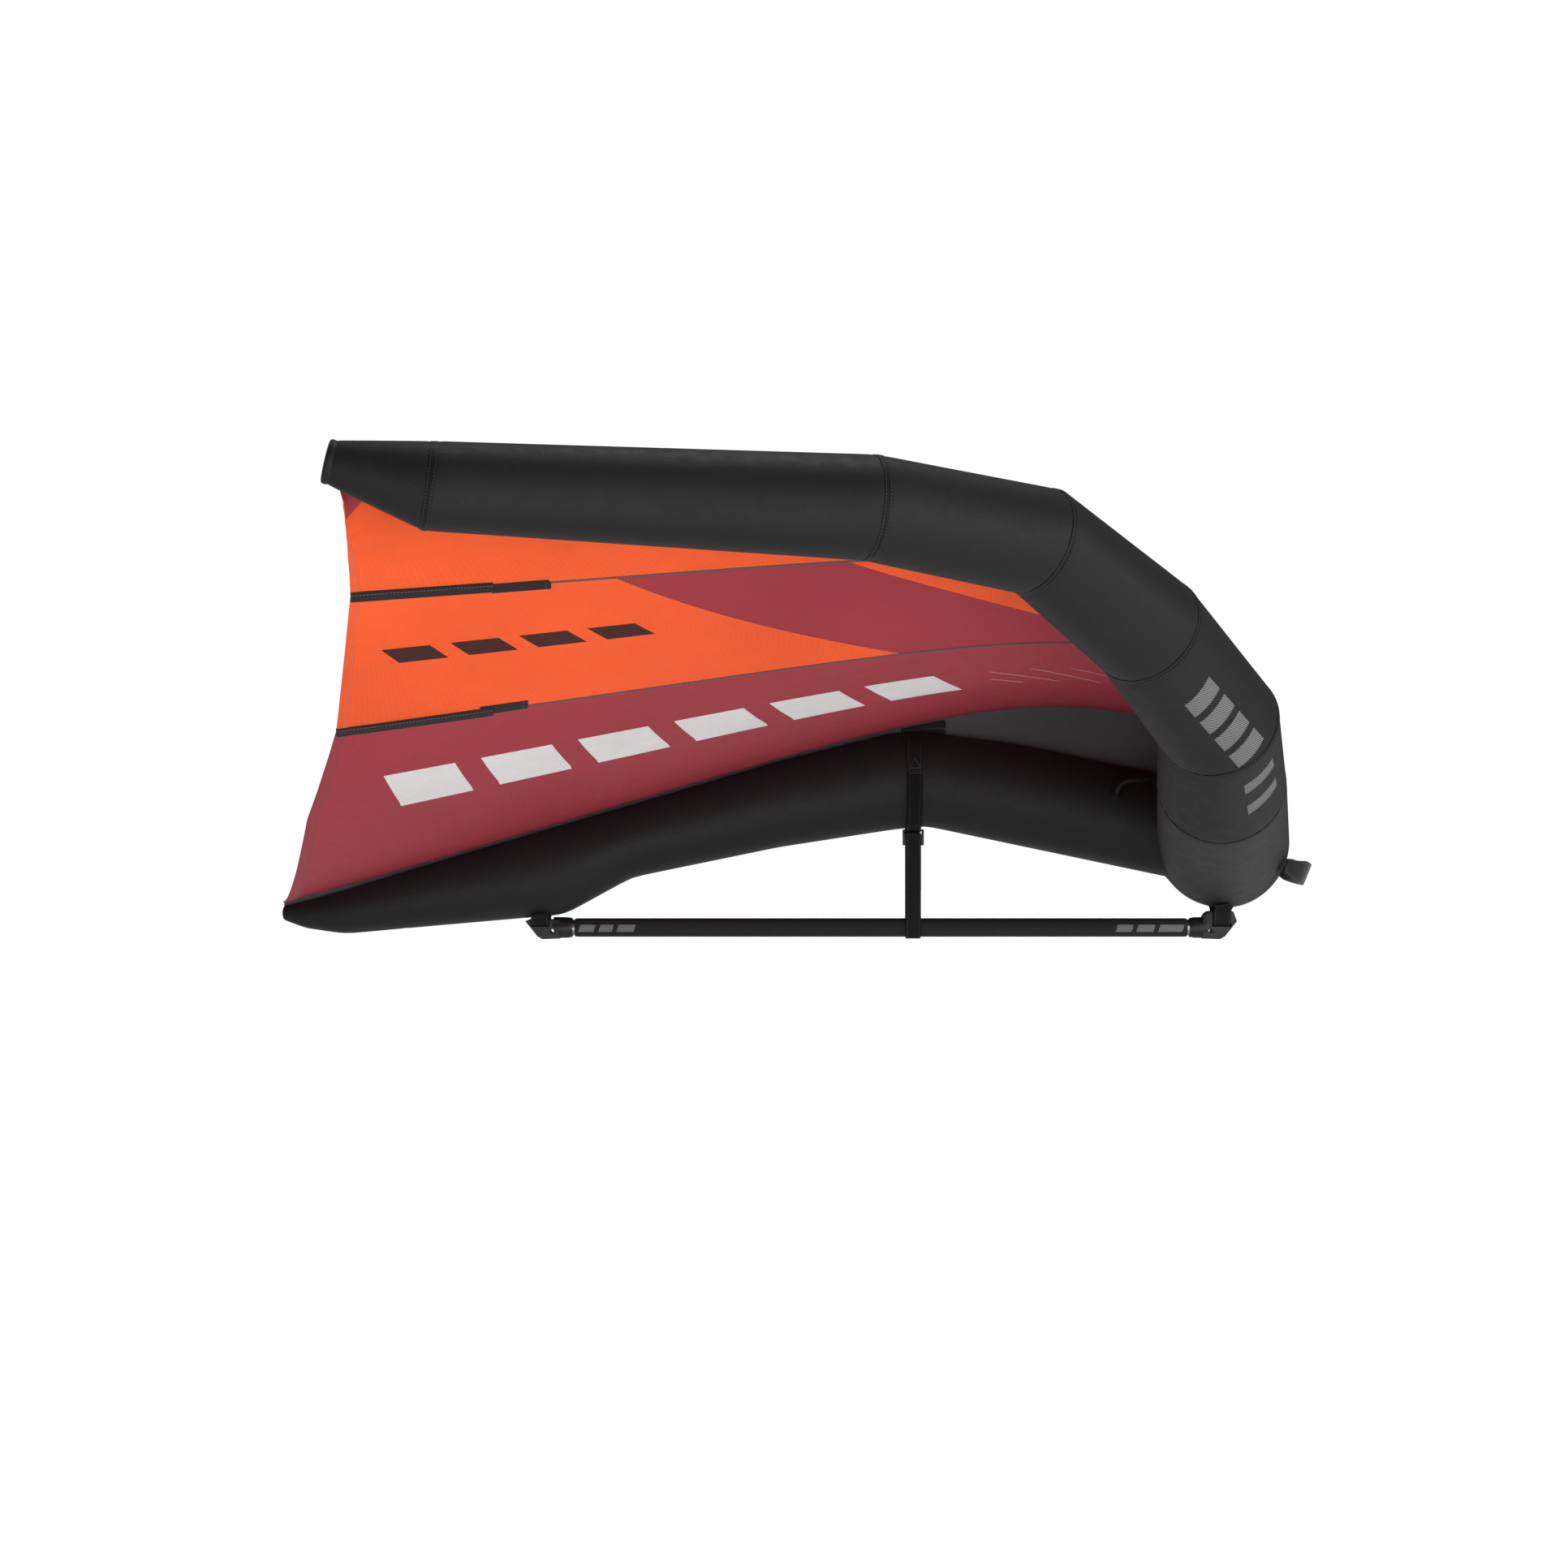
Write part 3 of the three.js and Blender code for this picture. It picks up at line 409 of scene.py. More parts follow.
def tip_cap(side, name):
    """A shallow dome of sleeve cloth closes the tip, with a bound rim."""
    last = len(EDGE_RINGS) - 1
    radius = EDGE_RINGS[last][3]
    profile = [(1.0, -0.006), (1.03, -0.002), (1.035, 0.001), (1.0, 0.0035), (0.93, 0.0045), (0.8, 0.0052),
               (0.5, 0.0058), (0.2, 0.006), (0.01, 0.006)]
    angles = [2 * math.pi * k / TUBE_ROUND for k in range(TUBE_ROUND)]
    rows = [[mirrored(edge_point(last, angle, radius * grow, shift - 0.001), side) for angle in angles]
            for grow, shift in profile]
    around = [radius * 2 * math.pi * k / TUBE_ROUND for k in range(TUBE_ROUND + 1)]
    return lofted(name, rows, around, [radius * (1 - grow) for grow, shift in profile], True, SLEEVE)


piece = centre_sleeve()
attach(piece, "wing")
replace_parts(piece, "le_panel_centre")
for word, side in SIDES.items():
    for index in range(1, len(EDGE_RINGS) - 1):
        rows, around, along = sleeve_panel(index, side)
        piece = lofted(f"sleeve_panel_{index}_{word}", rows, around, along, True, SLEEVE)
        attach(piece, "wing")
        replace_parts(piece, f"le_panel_{index}_{word}")
        tape = ring_tape(index, side, f"seam_tape_{index}_{word}")
        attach(tape, "wing")
    cap = tip_cap(side, f"tip_cap_{word}")
    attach(cap, "wing")
    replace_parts(cap, f"le_tip_cap_{word}")

# Bladders
# Clear urethane film bags hold the air inside the leading edge and the strut. The sleeves cover
# them, so only their film finish is set here.


def film(name):
    material, shader = plain(name, (0.62, 0.64, 0.62), 0.3)
    tree = material.node_tree
    place = put(tree, "ShaderNodeTexCoord").outputs["Object"]
    haze = put(tree, "ShaderNodeTexNoise", Vector=place, Scale=30.0, Detail=4.0).outputs["Fac"]
    tree.links.new(ramp(tree, haze, 0.3, 0.7, 0.22, 0.38), shader.inputs["Roughness"])
    shader.inputs["Coat Weight"].default_value = 0.3
    return material


def finish_node(node, material):
    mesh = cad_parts[node].data
    mesh.materials.clear()
    mesh.materials.append(material)


FILM = film("bladder_film")
for node in ("le_bladder", "strut_bladder"):
    finish_node(node, FILM)

# Centre strut
# The inflated keel tube is sewn from four panels of the same black cloth. It is deeper than it is
# wide, kinks up over the hands, and tapers to a blunt tail under the trailing edge.
STRUT_STATIONS = [
    (0.516, 0.240, 0.074, 0.083), (0.221, 0.304, 0.136, 0.082), (0.073, 0.323, 0.167, 0.078),
    (0.020, 0.322, 0.161, 0.077), (-0.168, 0.275, 0.132, 0.074), (-0.411, 0.203, 0.082, 0.070),
    (-0.522, 0.171, 0.021, 0.070), (-0.785, 0.093, -0.002, 0.052), (-0.885, 0.062, -0.011, 0.041),
    (-0.959, 0.042, 0.000, 0.026), (-0.984, 0.036, 0.014, 0.014),
]
STRUT_PANELS = {"front": (0, 2), "middle": (2, 5), "rear": (5, 7), "tail": (7, 10)}
STRUT_STEP = 0.010
TAIL_CAP = [(0.002, 0.002), (0.003, 0.006), (0.003, 0.0105)]


def strut_at(x):
    """The strut's top, bottom and half width at a station, rounded a little where its edges turn."""
    soft = 0.014
    return [sum(strut_straight(x + shift, key) for shift in (-soft, 0, soft)) / 3 for key in (1, 2, 3)]


def strut_straight(x, key):
    stations = STRUT_STATIONS
    x = max(stations[-1][0], min(stations[0][0], x))
    for before, after in zip(stations, stations[1:]):
        if x >= after[0]:
            return mix(before[key], after[key], (before[0] - x) / (before[0] - after[0]))
    return stations[-1][key]


def strut_ring(x, seam_near, shrink=0.0):
    top, bottom, half = strut_at(x)
    ring = []
    for k in range(TUBE_ROUND):
        angle = 2 * math.pi * k / TUBE_ROUND
        pucker = 0.0003 * math.cos(29 * angle + 40 * x) * math.exp(-seam_near / 0.02)
        trim = pucker - 0.0004 * math.exp(-seam_near / 0.003) - 0.0006 - shrink
        ring.append(Vector((x, (half + trim) * math.cos(angle),
                            (top + bottom) / 2 + ((top - bottom) / 2 + trim) * math.sin(angle))))
    return ring


def strut_panel(name, first, last):
    start, end = STRUT_STATIONS[first][0], STRUT_STATIONS[last][0]
    steps = max(8, round((start - end) / STRUT_STEP))
    places = [mix(start, end, k / steps) for k in range(steps + 1)]
    rows = [strut_ring(x, min(start - x if first else 1, x - end)) for x in places]
    if first == 0:
        rows = [trimmed_to_edge(row) for row in rows]
    if last == len(STRUT_STATIONS) - 1:
        for back, shrink in TAIL_CAP:
            rows.append(strut_ring(end - back, 0, shrink))
            places.append(end - back)
    radius = STRUT_STATIONS[first][3]
    around = [2 * math.pi * radius * k / TUBE_ROUND for k in range(TUBE_ROUND + 1)]
    return lofted(name, rows, around, [start - x for x in places], True, SLEEVE)


def trimmed_to_edge(row):
    """Points that would enter the leading edge stop on its surface, where the strut is sewn on."""
    kept = []
    for point in row:
        share = min(abs(point.y) / EDGE_RINGS[1][1], 1)
        centre = Vector(EDGE_RINGS[0][:3]).lerp(Vector(EDGE_RINGS[1][:3]), share)
        radius = mix(EDGE_RINGS[0][3], EDGE_RINGS[1][3], share) - 0.0015
        height = point.z - centre.z
        if abs(height) < radius:
            wall = centre.x - math.sqrt(radius * radius - height * height)
            point.x = min(point.x, wall)
        kept.append(point)
    return kept


for word, (first, last) in STRUT_PANELS.items():
    piece = strut_panel(f"strut_panel_{word}", first, last)
    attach(piece, "wing")
    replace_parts(piece, f"strut_{word}")

# Canopy
# The sail is one taut sheet of light ripstop from wing tip to wing tip, sewn from coloured panels.
# It lies on the leading edge's seam, arches over the strut and sweeps down to the trailing edge.
TRAILING_EDGE = [
    (-0.987, 0.000, 0.295), (-0.872, 0.480, 0.165), (-0.793, 0.720, 0.092), (-0.735, 0.985, 0.062),
    (-0.731, 1.022, 0.040), (-0.729, 1.050, 0.016), (-0.726, 1.078, 0.000), (-0.721, 1.142, 0.000),
]
TRAILING_CENTRE_Z, TRAILING_RISE, TRAILING_HALF, TRAILING_POWER = 0.041, 0.569, 1.150, 1.6
SEAT_RISE = 0.002
CLOTH_THICK = 0.0009
CLOTH_CENTRE = 0.0010
CANOPY_STEP = 0.014
ORANGE = (0.96, 0.120, 0.032)
MAROON = (0.385, 0.046, 0.062)
TIP_SPAN = 6.9
WEDGE = (0.370, 0.310)
SLIVER = (0.083, 0.304)
TIP_CORNER = (6.45, 0.46)


def seat(index):
    ring = EDGE_RINGS[index]
    return edge_point(index, math.radians(ring[4]), ring[3] + SEAT_RISE)


SEATS = [seat(index) for index in range(len(EDGE_RINGS))]


def canopy_middle(span, chord):
    """A point on the canopy's lower face on the left half: span counts rings, chord runs 0 to 1 aft."""
    ring = min(int(span), len(EDGE_RINGS) - 2)
    share = span - ring
    front = SEATS[ring].lerp(SEATS[ring + 1], share)
    x, y, camber = (mix(a, b, share) for a, b in zip(TRAILING_EDGE[ring], TRAILING_EDGE[ring + 1]))
    rear = Vector((x, y, TRAILING_CENTRE_Z + TRAILING_RISE * (y / TRAILING_HALF) ** TRAILING_POWER))
    point = front.lerp(rear, chord)
    point.z += camber * ((1 - chord) ** 1.05 - (1 - chord) ** 7)
    return point


def canopy_normal(span, chord):
    step = 0.01
    along = canopy_middle(min(span + step, 7), chord) - canopy_middle(max(span - step, 0), chord)
    aft = canopy_middle(span, min(chord + step, 1)) - canopy_middle(span, max(chord - step, 0))
    return along.cross(aft).normalized()


def tension(span, chord):
    """Shallow load creases, fanning from the ring seams at the front and fading aft, and a slack leech."""
    front = 0.0016 * math.exp(-chord / 0.10) * math.cos(span * 2 * math.pi * 3)
    leech = 0.0003 * math.exp(-(1 - chord) / 0.05) * math.cos(span * 2 * math.pi * 2.5 + 0.6)
    return (front + leech) * min(1.0, 6 * chord) * min(1.0, span * 2)


def canopy_point(span, chord, side, lift=0.0):
    point = canopy_middle(span, chord)
    point += canopy_normal(span, chord) * (CLOTH_CENTRE + lift + tension(span, chord))
    point.y = max(point.y, 0)
    return mirrored(point, side)


def cut_size(grid):
    """A panel's longest chord, its reach square to the chords, and its area, measured over the cloth."""
    chord = max(sum((b - a).length for a, b in zip(row, row[1:])) for row in grid)
    aft = sum((row[-1] - row[0] for row in grid), Vector()).normalized()
    square = [[(b - a) - aft * (b - a).dot(aft) for a, b in zip(line, line[1:])] for line in zip(*grid)]
    reach = max(sum(step.length for step in line) for line in square)
    area = 0.0
    for row, after in zip(grid, grid[1:]):
        for a, b, c, d in zip(row, row[1:], after[1:], after):
            area += (c - a).cross(d - b).length / 2
    return chord, reach, area


def canopy_sheet(name, spans, chord_from, chord_to, side, material, thick=CLOTH_THICK):
    """A panel of cloth between two spans and two chord lines, closed all round, with UV in metres."""
    middle = (spans[0] + spans[1]) / 2
    count_v = max(2, round(1.5 * (chord_to(middle) - chord_from(middle)) / CANOPY_STEP))
    reach = (canopy_point(spans[0], 0.5, 1) - canopy_point(spans[1], 0.5, 1)).length
    marks = [spans[0], *(ring for ring in range(1, 7) if spans[0] < ring < spans[1]), spans[1]]
    stations = []
    for a, b in zip(marks, marks[1:]):
        share = max(2, math.ceil(reach / CANOPY_STEP * (b - a) / (spans[1] - spans[0])))
        stations += [mix(a, b, k / share) for k in range(share)]
    stations.append(spans[1])
    under, over = [], []
    for span in stations:
        chords = [mix(chord_from(span), chord_to(span), k / count_v) for k in range(count_v + 1)]
        under.append([canopy_point(span, chord, side, -thick / 2) for chord in chords])
        over.append([canopy_point(span, chord, side, thick / 2) for chord in chords])
    along = [0.0]
    for before, after in zip(under, under[1:]):
        along.append(along[-1] + (after[count_v // 2] - before[count_v // 2]).length)
    across = [0.0]
    for before, after in zip(under[len(under) // 2], under[len(under) // 2][1:]):
        across.append(across[-1] + (after - before).length)
    rows = [[*low, *reversed(high)] for low, high in zip(under, over)]
    piece = lofted(name, rows, [*across, *reversed(across), across[0]], along, True, material)
    close_ends(piece)
    return piece, cut_size(under)


def close_ends(piece):
    """Caps the two open ends of a lofted sheet with narrow strips of faces."""
    work = bmesh.new()
    work.from_mesh(piece.data)
    rims = [edge for edge in work.edges if edge.is_boundary]
    bmesh.ops.holes_fill(work, edges=rims, sides=0)
    bmesh.ops.recalc_face_normals(work, faces=work.faces)
    work.to_mesh(piece.data)
    work.free()
    piece.data.set_sharp_from_angle(angle=math.radians(35))


def level(value):
    return lambda span: value


def sloped(line):
    return lambda span: line[0] + line[1] * (span - 2)


RIPSTOP_ORANGE = cloth("ripstop_orange", ORANGE, roughness=0.50, crease=0.16, grid_depth=0.8, sheen=0.0)
RIPSTOP_MAROON = cloth("ripstop_maroon", MAROON, roughness=0.50, crease=0.16, grid_depth=0.8, sheen=0.0)
PANELS = [
    ("inner", (0, 2), level(0), level(1), RIPSTOP_MAROON, "cloth_maroon"),
    ("middle_front", (2, 3), level(0), sloped(SLIVER), RIPSTOP_ORANGE, "cloth_orange"),
    ("middle_wedge", (2, 3), sloped(SLIVER), sloped(WEDGE), RIPSTOP_MAROON, "cloth_maroon"),
    ("middle_rear", (2, 3), sloped(WEDGE), level(1), RIPSTOP_ORANGE, "cloth_orange"),
    ("tip", (3, TIP_SPAN), level(0), level(1), RIPSTOP_ORANGE, "cloth_orange"),
]
STANDS_FOR = {"inner": "canopy_inner", "middle_rear": "canopy_middle", "tip": "canopy_tip"}
sails = {}
for word, side in SIDES.items():
    for part, spans, start, end, material, slot in PANELS:
        piece, size = canopy_sheet(f"sail_{part}_{word}", spans, start, end, side, material)
        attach(piece, "wing")
        if part in STANDS_FOR:
            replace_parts(piece, f"{STANDS_FOR[part]}_{word}")
        sails[part, word] = (piece, size, [])

# Canopy seams, hem and batten pockets
# The strips are joined by narrow flat seams, the trailing edge is turned and stitched as a hem, and
# a stiff batten slides into a sewn pocket at each seam, with a patch over the pocket's front end.
SEAM_GREY = (0.075, 0.070, 0.072)
POCKET_BLACK = (0.022, 0.021, 0.023)
HEM_FROM = 0.988
HEM_THICK = 0.0020
PATCHES = {2: ((1.970, 2.050), (0.790, 0.843)), 3: ((2.955, 3.085), (0.758, 0.830))}
POCKET_SECTION = [(-0.0092, 0.0), (-0.0076, -0.0040), (-0.0052, -0.0062), (0.0052, -0.0062),
                  (0.0076, -0.0040), (0.0092, 0.0), (0.0060, 0.0009), (-0.0060, 0.0009)]


def beside(span, chord, side, across, lift):
    """A point near a seam: across metres outboard of it and lift metres above the cloth's middle."""
    step = 0.01
    normal = canopy_normal(span, chord)
    aft = canopy_middle(span, min(chord + step, 1)) - canopy_middle(span, max(chord - step, 0))
    outboard = aft.normalized().cross(normal)
    return mirrored(canopy_point(span, chord, 1, lift) + outboard * across, side)


def along_seam(name, span, chords, section, side, material):
    """A closed strip along a seam, from its section of (across, lift) points."""
    steps = max(4, round(1.5 * (chords[1] - chords[0]) / CANOPY_STEP))
    places = [mix(*chords, k / steps) for k in range(steps + 1)]
    rows = [[beside(span, chord, side, *corner) for corner in section] for chord in places]
    along = [0.0]
    for before, after in zip(rows, rows[1:]):
        along.append(along[-1] + (after[0] - before[0]).length)
    across = [corner[0] for corner in section]
    piece = lofted(name, rows, [*across, across[0]], along, True, material)
    close_ends(piece)
    return piece


SEAM_THREAD = cloth("canopy_seam", SEAM_GREY, roughness=0.6, crease=0.0, grid_depth=0.0,
                    stitch_row=0.0009, thread=0.16)
POCKET_CLOTH = cloth("pocket_cloth", POCKET_BLACK, roughness=0.6, crease=0.0, grid_depth=0.2,
                     stitch_row=0.0068, thread=0.09)
POCKET_FROM = 0.829
HEM_CLOTHS = {
    "inner": cloth("hem_maroon", tuple(0.90 * c for c in MAROON), grid_depth=0.2, stitch_row=0.003,
                   thread=0.08),
    "middle_rear": cloth("hem_orange", tuple(0.93 * c for c in ORANGE), grid_depth=0.2,
                         stitch_row=0.003, thread=0.22),
}
HEM_CLOTHS["tip"] = HEM_CLOTHS["middle_rear"]
SEAM_HALF = 0.0021
SEAM_RISE = CLOTH_THICK / 2 + 0.0004
SEAM_SECTION = [(-SEAM_HALF, -SEAM_RISE), (SEAM_HALF, -SEAM_RISE), (SEAM_HALF, SEAM_RISE),
                (-SEAM_HALF, SEAM_RISE)]
for word, side in SIDES.items():
    for span, owner, pocket in ((2, "inner", "inner"), (3, "tip", "outer")):
        strip = along_seam(f"sail_seam_{pocket}_{word}", span, (0.0, 1.0), SEAM_SECTION, side, SEAM_THREAD)
        spans, chords = PATCHES[span]
        sleeve = along_seam(f"pocket_{pocket}_{word}", span, (min(chords[1], POCKET_FROM), 1.0),
                            POCKET_SECTION, side, POCKET_CLOTH)
        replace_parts(sleeve, f"batten_pocket_{pocket}_{word}")
        patch_piece, _ = canopy_sheet(f"pocket_patch_{pocket}_{word}", spans, level(chords[0]),
                                      level(chords[1]), side, POCKET_CLOTH, thick=0.0024)
        for piece in (strip, sleeve, patch_piece):
            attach(piece, "wing")
            sails[owner, word][2].append(piece)
    for part, spans in (("inner", (0, 2)), ("middle_rear", (2, 3)), ("tip", (3, TIP_SPAN))):
        hem, _ = canopy_sheet(f"hem_{part}_{word}", spans, level(HEM_FROM), level(1), side,
                              HEM_CLOTHS[part], thick=HEM_THICK)
        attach(hem, "wing")
        sails[part, word][2].append(hem)

FRONT_TAPE_CHORD = 0.010
FRONT_TAPE_RISE = 0.0009
FRONT_TAPE_SINK = 0.006
FRONT_TAPE_STEPS = 26


def front_tape(name, side):
    """The tape that sews the canopy's front edge down to the sleeve, sunk a little into the seam."""
    rows, along = [], [0.0]
    for k in range(round(TIP_SPAN * FRONT_TAPE_STEPS) + 1):
        span = min(k / FRONT_TAPE_STEPS, TIP_SPAN)
        ring = min(int(span), len(EDGE_RINGS) - 2)
        axis = EDGE_FRAMES[ring][0].lerp(EDGE_FRAMES[ring + 1][0], span - ring)
        edge = canopy_middle(span, 0)
        foot = edge + (axis - edge).normalized() * FRONT_TAPE_SINK
        aft = (canopy_middle(span, FRONT_TAPE_CHORD) - edge).normalized() * FRONT_TAPE_RISE
        row = [mirrored(foot - aft, side), canopy_point(span, 0, side, FRONT_TAPE_RISE),
               canopy_point(span, FRONT_TAPE_CHORD, side, FRONT_TAPE_RISE),
               canopy_point(span, FRONT_TAPE_CHORD, side, -FRONT_TAPE_RISE),
               canopy_point(span, 0, side, -FRONT_TAPE_RISE), mirrored(foot + aft, side)]
        if rows:
            along.append(along[-1] + (row[1] - rows[-1][1]).length)
        rows.append(row)
    across = [-0.006, 0.0, 0.014, 0.014, 0.0, -0.006, -0.006]
    piece = lofted(name, rows, across, along, True, SEAM_TAPE)
    close_ends(piece)
    return piece


for word, side in SIDES.items():
    tape = front_tape(f"front_tape_{word}", side)
    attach(tape, "wing")

# Prints
# Ink on the cloth, laid down before sewing: plain slanted bars and thin speed lines on both sides of
# the canopy, and rows of grey bars on the leading edge.
INK_WHITE = (0.80, 0.79, 0.78)
INK_DARK = (0.060, 0.022, 0.020)
INK_PALE = (0.56, 0.30, 0.30)
INK_GREY = (0.150, 0.150, 0.155)
INK_HATCH = (0.23, 0.23, 0.235)
INK_RISE = 0.0003


def patch(name, place, counts, lifts, material):
    """A thin closed sheet over a surface, from a function of two shares and a lift."""
    rows = []
    for i in range(counts[0] + 1):
        low, high = [[place(i / counts[0], j / counts[1], lift) for j in range(counts[1] + 1)]
                     for lift in lifts]
        rows.append([*low, *reversed(high)])
    wide = (rows[0][counts[1]] - rows[0][0]).length
    across = [wide * j / counts[1] for j in range(counts[1] + 1)]
    along = [0.0]
    for before, after in zip(rows, rows[1:]):
        along.append(along[-1] + (after[0] - before[0]).length)
    piece = lofted(name, rows, [*across, *reversed(across), across[0]], along, True, material)
    close_ends(piece)
    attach(piece, "wing")
    return piece


def canopy_print(name, spans, chords, slant, side, material):
    lift = CLOTH_THICK / 2 + INK_RISE

    def place(a, b, height):
        return canopy_point(mix(*spans, a), mix(*chords, b) + slant * a, side, height)
    return patch(name, place, (16, 8), (-lift, lift), material)


WHITE_PRINT = cloth("white_print", INK_WHITE, roughness=0.5, crease=0.1, grid_depth=0.6, sheen=0.0)
DARK_PRINT = cloth("dark_print", INK_DARK, roughness=0.5, crease=0.1, grid_depth=0.5, sheen=0.0)
PALE_PRINT = cloth("pale_print", INK_PALE, roughness=0.5, crease=0.1, grid_depth=0.5, sheen=0.0)
GREY_PRINT = cloth("grey_print", INK_GREY, roughness=0.55, crease=0.1, grid_depth=0.2, sheen=0.1)
WHITE_BARS = [(0.305 + 0.104 * k, 0.381 + 0.104 * k) for k in range(6)]
DARK_BARS = [(0.640 + 0.080 * k, 0.696 + 0.080 * k) for k in range(4)]
SPEED_LINES = [((0.979, 1.357), 0.198, 0.074), ((0.991, 1.154), 0.238, 0.033), ((0.974, 1.367), 0.154, 0.073),
               ((1.191, 1.347), 0.146, 0.036)]
LINE_CHORD = 0.0026
for word, side in SIDES.items():
    for k, chords in enumerate(WHITE_BARS):
        piece = canopy_print(f"white_bar_{k}_{word}", (0.965, 1.415), chords, 0.030, side, WHITE_PRINT)
        sails["inner", word][2].append(piece)
    for k, chords in enumerate(DARK_BARS):
        piece = canopy_print(f"dark_bar_{k}_{word}", (2.505, 2.615), chords, 0.022, side, DARK_PRINT)
        sails["middle_rear", word][2].append(piece)
    for k, (spans, chord, slant) in enumerate(SPEED_LINES):
        piece = canopy_print(f"speed_line_{k}_{word}", spans, (chord, chord + LINE_CHORD), slant, side,
                             PALE_PRINT)
        sails["inner", word][2].append(piece)
    corner, _ = canopy_sheet(f"tip_corner_{word}", (TIP_CORNER[0], TIP_SPAN), level(TIP_CORNER[1]),
                             level(HEM_FROM), side, RIPSTOP_MAROON, thick=CLOTH_THICK + 2 * INK_RISE)
    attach(corner, "wing")
    sails["tip", word][2].append(corner)

EDGE_BARS = [(1, 0.36), (1, 0.66), (2, 0.04), (2, 0.22), (2, 0.40), (2, 0.58)]
EDGE_BAR_SHARE = 0.125
EDGE_BAR_ANGLES = (-62, -26)


def hatched_print(name, ink, ground, pitch):
    """Fine slanted stripes of ink, with the cloth's black between them."""
    material, shader = plain(name, ink, 0.6)
    tree = material.node_tree
    split = put(tree, "ShaderNodeSeparateXYZ", Vector=put(tree, "ShaderNodeUVMap").outputs["UV"]).outputs
    stripe = maths(tree, "FRACT", maths(tree, "DIVIDE", maths(tree, "ADD", split[0], split[1]), pitch))
    mask = ramp(tree, maths(tree, "ABSOLUTE", maths(tree, "SUBTRACT", stripe, 0.5)), 0.28, 0.36, 1.0, 0.0)
    blend = {"data_type": "RGBA", "blend_type": "MIX"}
    shade = put(tree, "ShaderNodeMix", blend, _0=mask, _6=(*ground, 1), _7=(*ink, 1)).outputs[2]
    tree.links.new(shade, shader.inputs["Base Color"])
    shader.inputs["Specular IOR Level"].default_value = 0.2
    return material


HATCHED = hatched_print("hatched_print", INK_HATCH, SLEEVE_BLACK, 0.0042)
for word, side in SIDES.items():
    for k, (index, share) in enumerate(EDGE_BARS):
        def place(a, b, height, index=index, share=share, side=side):
            angle = math.radians(mix(*EDGE_BAR_ANGLES, b))
            return sleeve_point(index, side, share + EDGE_BAR_SHARE * a + 0.05 * b, angle, height)
        piece = patch(f"edge_bar_{k}_{word}", place, (4, 16), (-0.0004, INK_RISE), HATCHED)

# Strut web
# A flat web of black cloth stands on the strut's top and is sewn into the canopy's middle seam, so
# it fills the gap between them. A doubled patch takes the mid strap's load where it meets the strut.
WEB_GREY = (0.082, 0.083, 0.088)
WEB_HALF = 0.0006
WEB_STEPS = 150
WEB_ENDS = (0.03, 0.999)
WEB_PATCH = (0.033, 0.107)
WEB_PATCH_DEEP = 0.024
WEB_PATCH_CLEAR = 0.0015


def web_foot(x):
    """What the web stands on: the strut's top, and the leading edge's top ahead of it."""
    ring_x, _, ring_z, radius, _ = EDGE_RINGS[0]
    reach = radius * radius - (x - ring_x) ** 2
    heights = [ring_z + math.sqrt(reach)] if reach > 0 else []
    if x <= STRUT_STATIONS[0][0]:
        heights.append(strut_at(x)[0])
    return max(heights) - 0.0015


WEB_CLOTH = cloth("web_cloth", WEB_GREY, roughness=0.62, crease=0.12, grid_depth=0.3)
rows, along = [], []
for k in range(WEB_STEPS + 1):
    top = canopy_middle(0, mix(*WEB_ENDS, k / WEB_STEPS))
    foot = min(web_foot(top.x), top.z - 0.001)
    head = top.z + CLOTH_CENTRE / 2
    rows.append([Vector((top.x, y, z)) for y, z in
                 ((-WEB_HALF, foot), (-WEB_HALF, head), (WEB_HALF, head), (WEB_HALF, foot))])
    along.append(-top.x)
piece = lofted("web", rows, [0, 0.08, 0.0812, 0.1612, 0.1624], along, True, WEB_CLOTH)
close_ends(piece)
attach(piece, "wing")
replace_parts(piece, "strut_web")


def web_patch(a, b, height):
    x = mix(*WEB_PATCH, a)
    chord = (SEATS[0].x - x) / (SEATS[0].x - TRAILING_EDGE[0][0])
    head = min(web_foot(x) + WEB_PATCH_DEEP, canopy_middle(0, chord).z - WEB_PATCH_CLEAR)
    return Vector((x, height, mix(web_foot(x), head, b)))


piece = patch("web_patch", web_patch, (12, 4), (-0.0018, 0.0018), SEAM_TAPE)

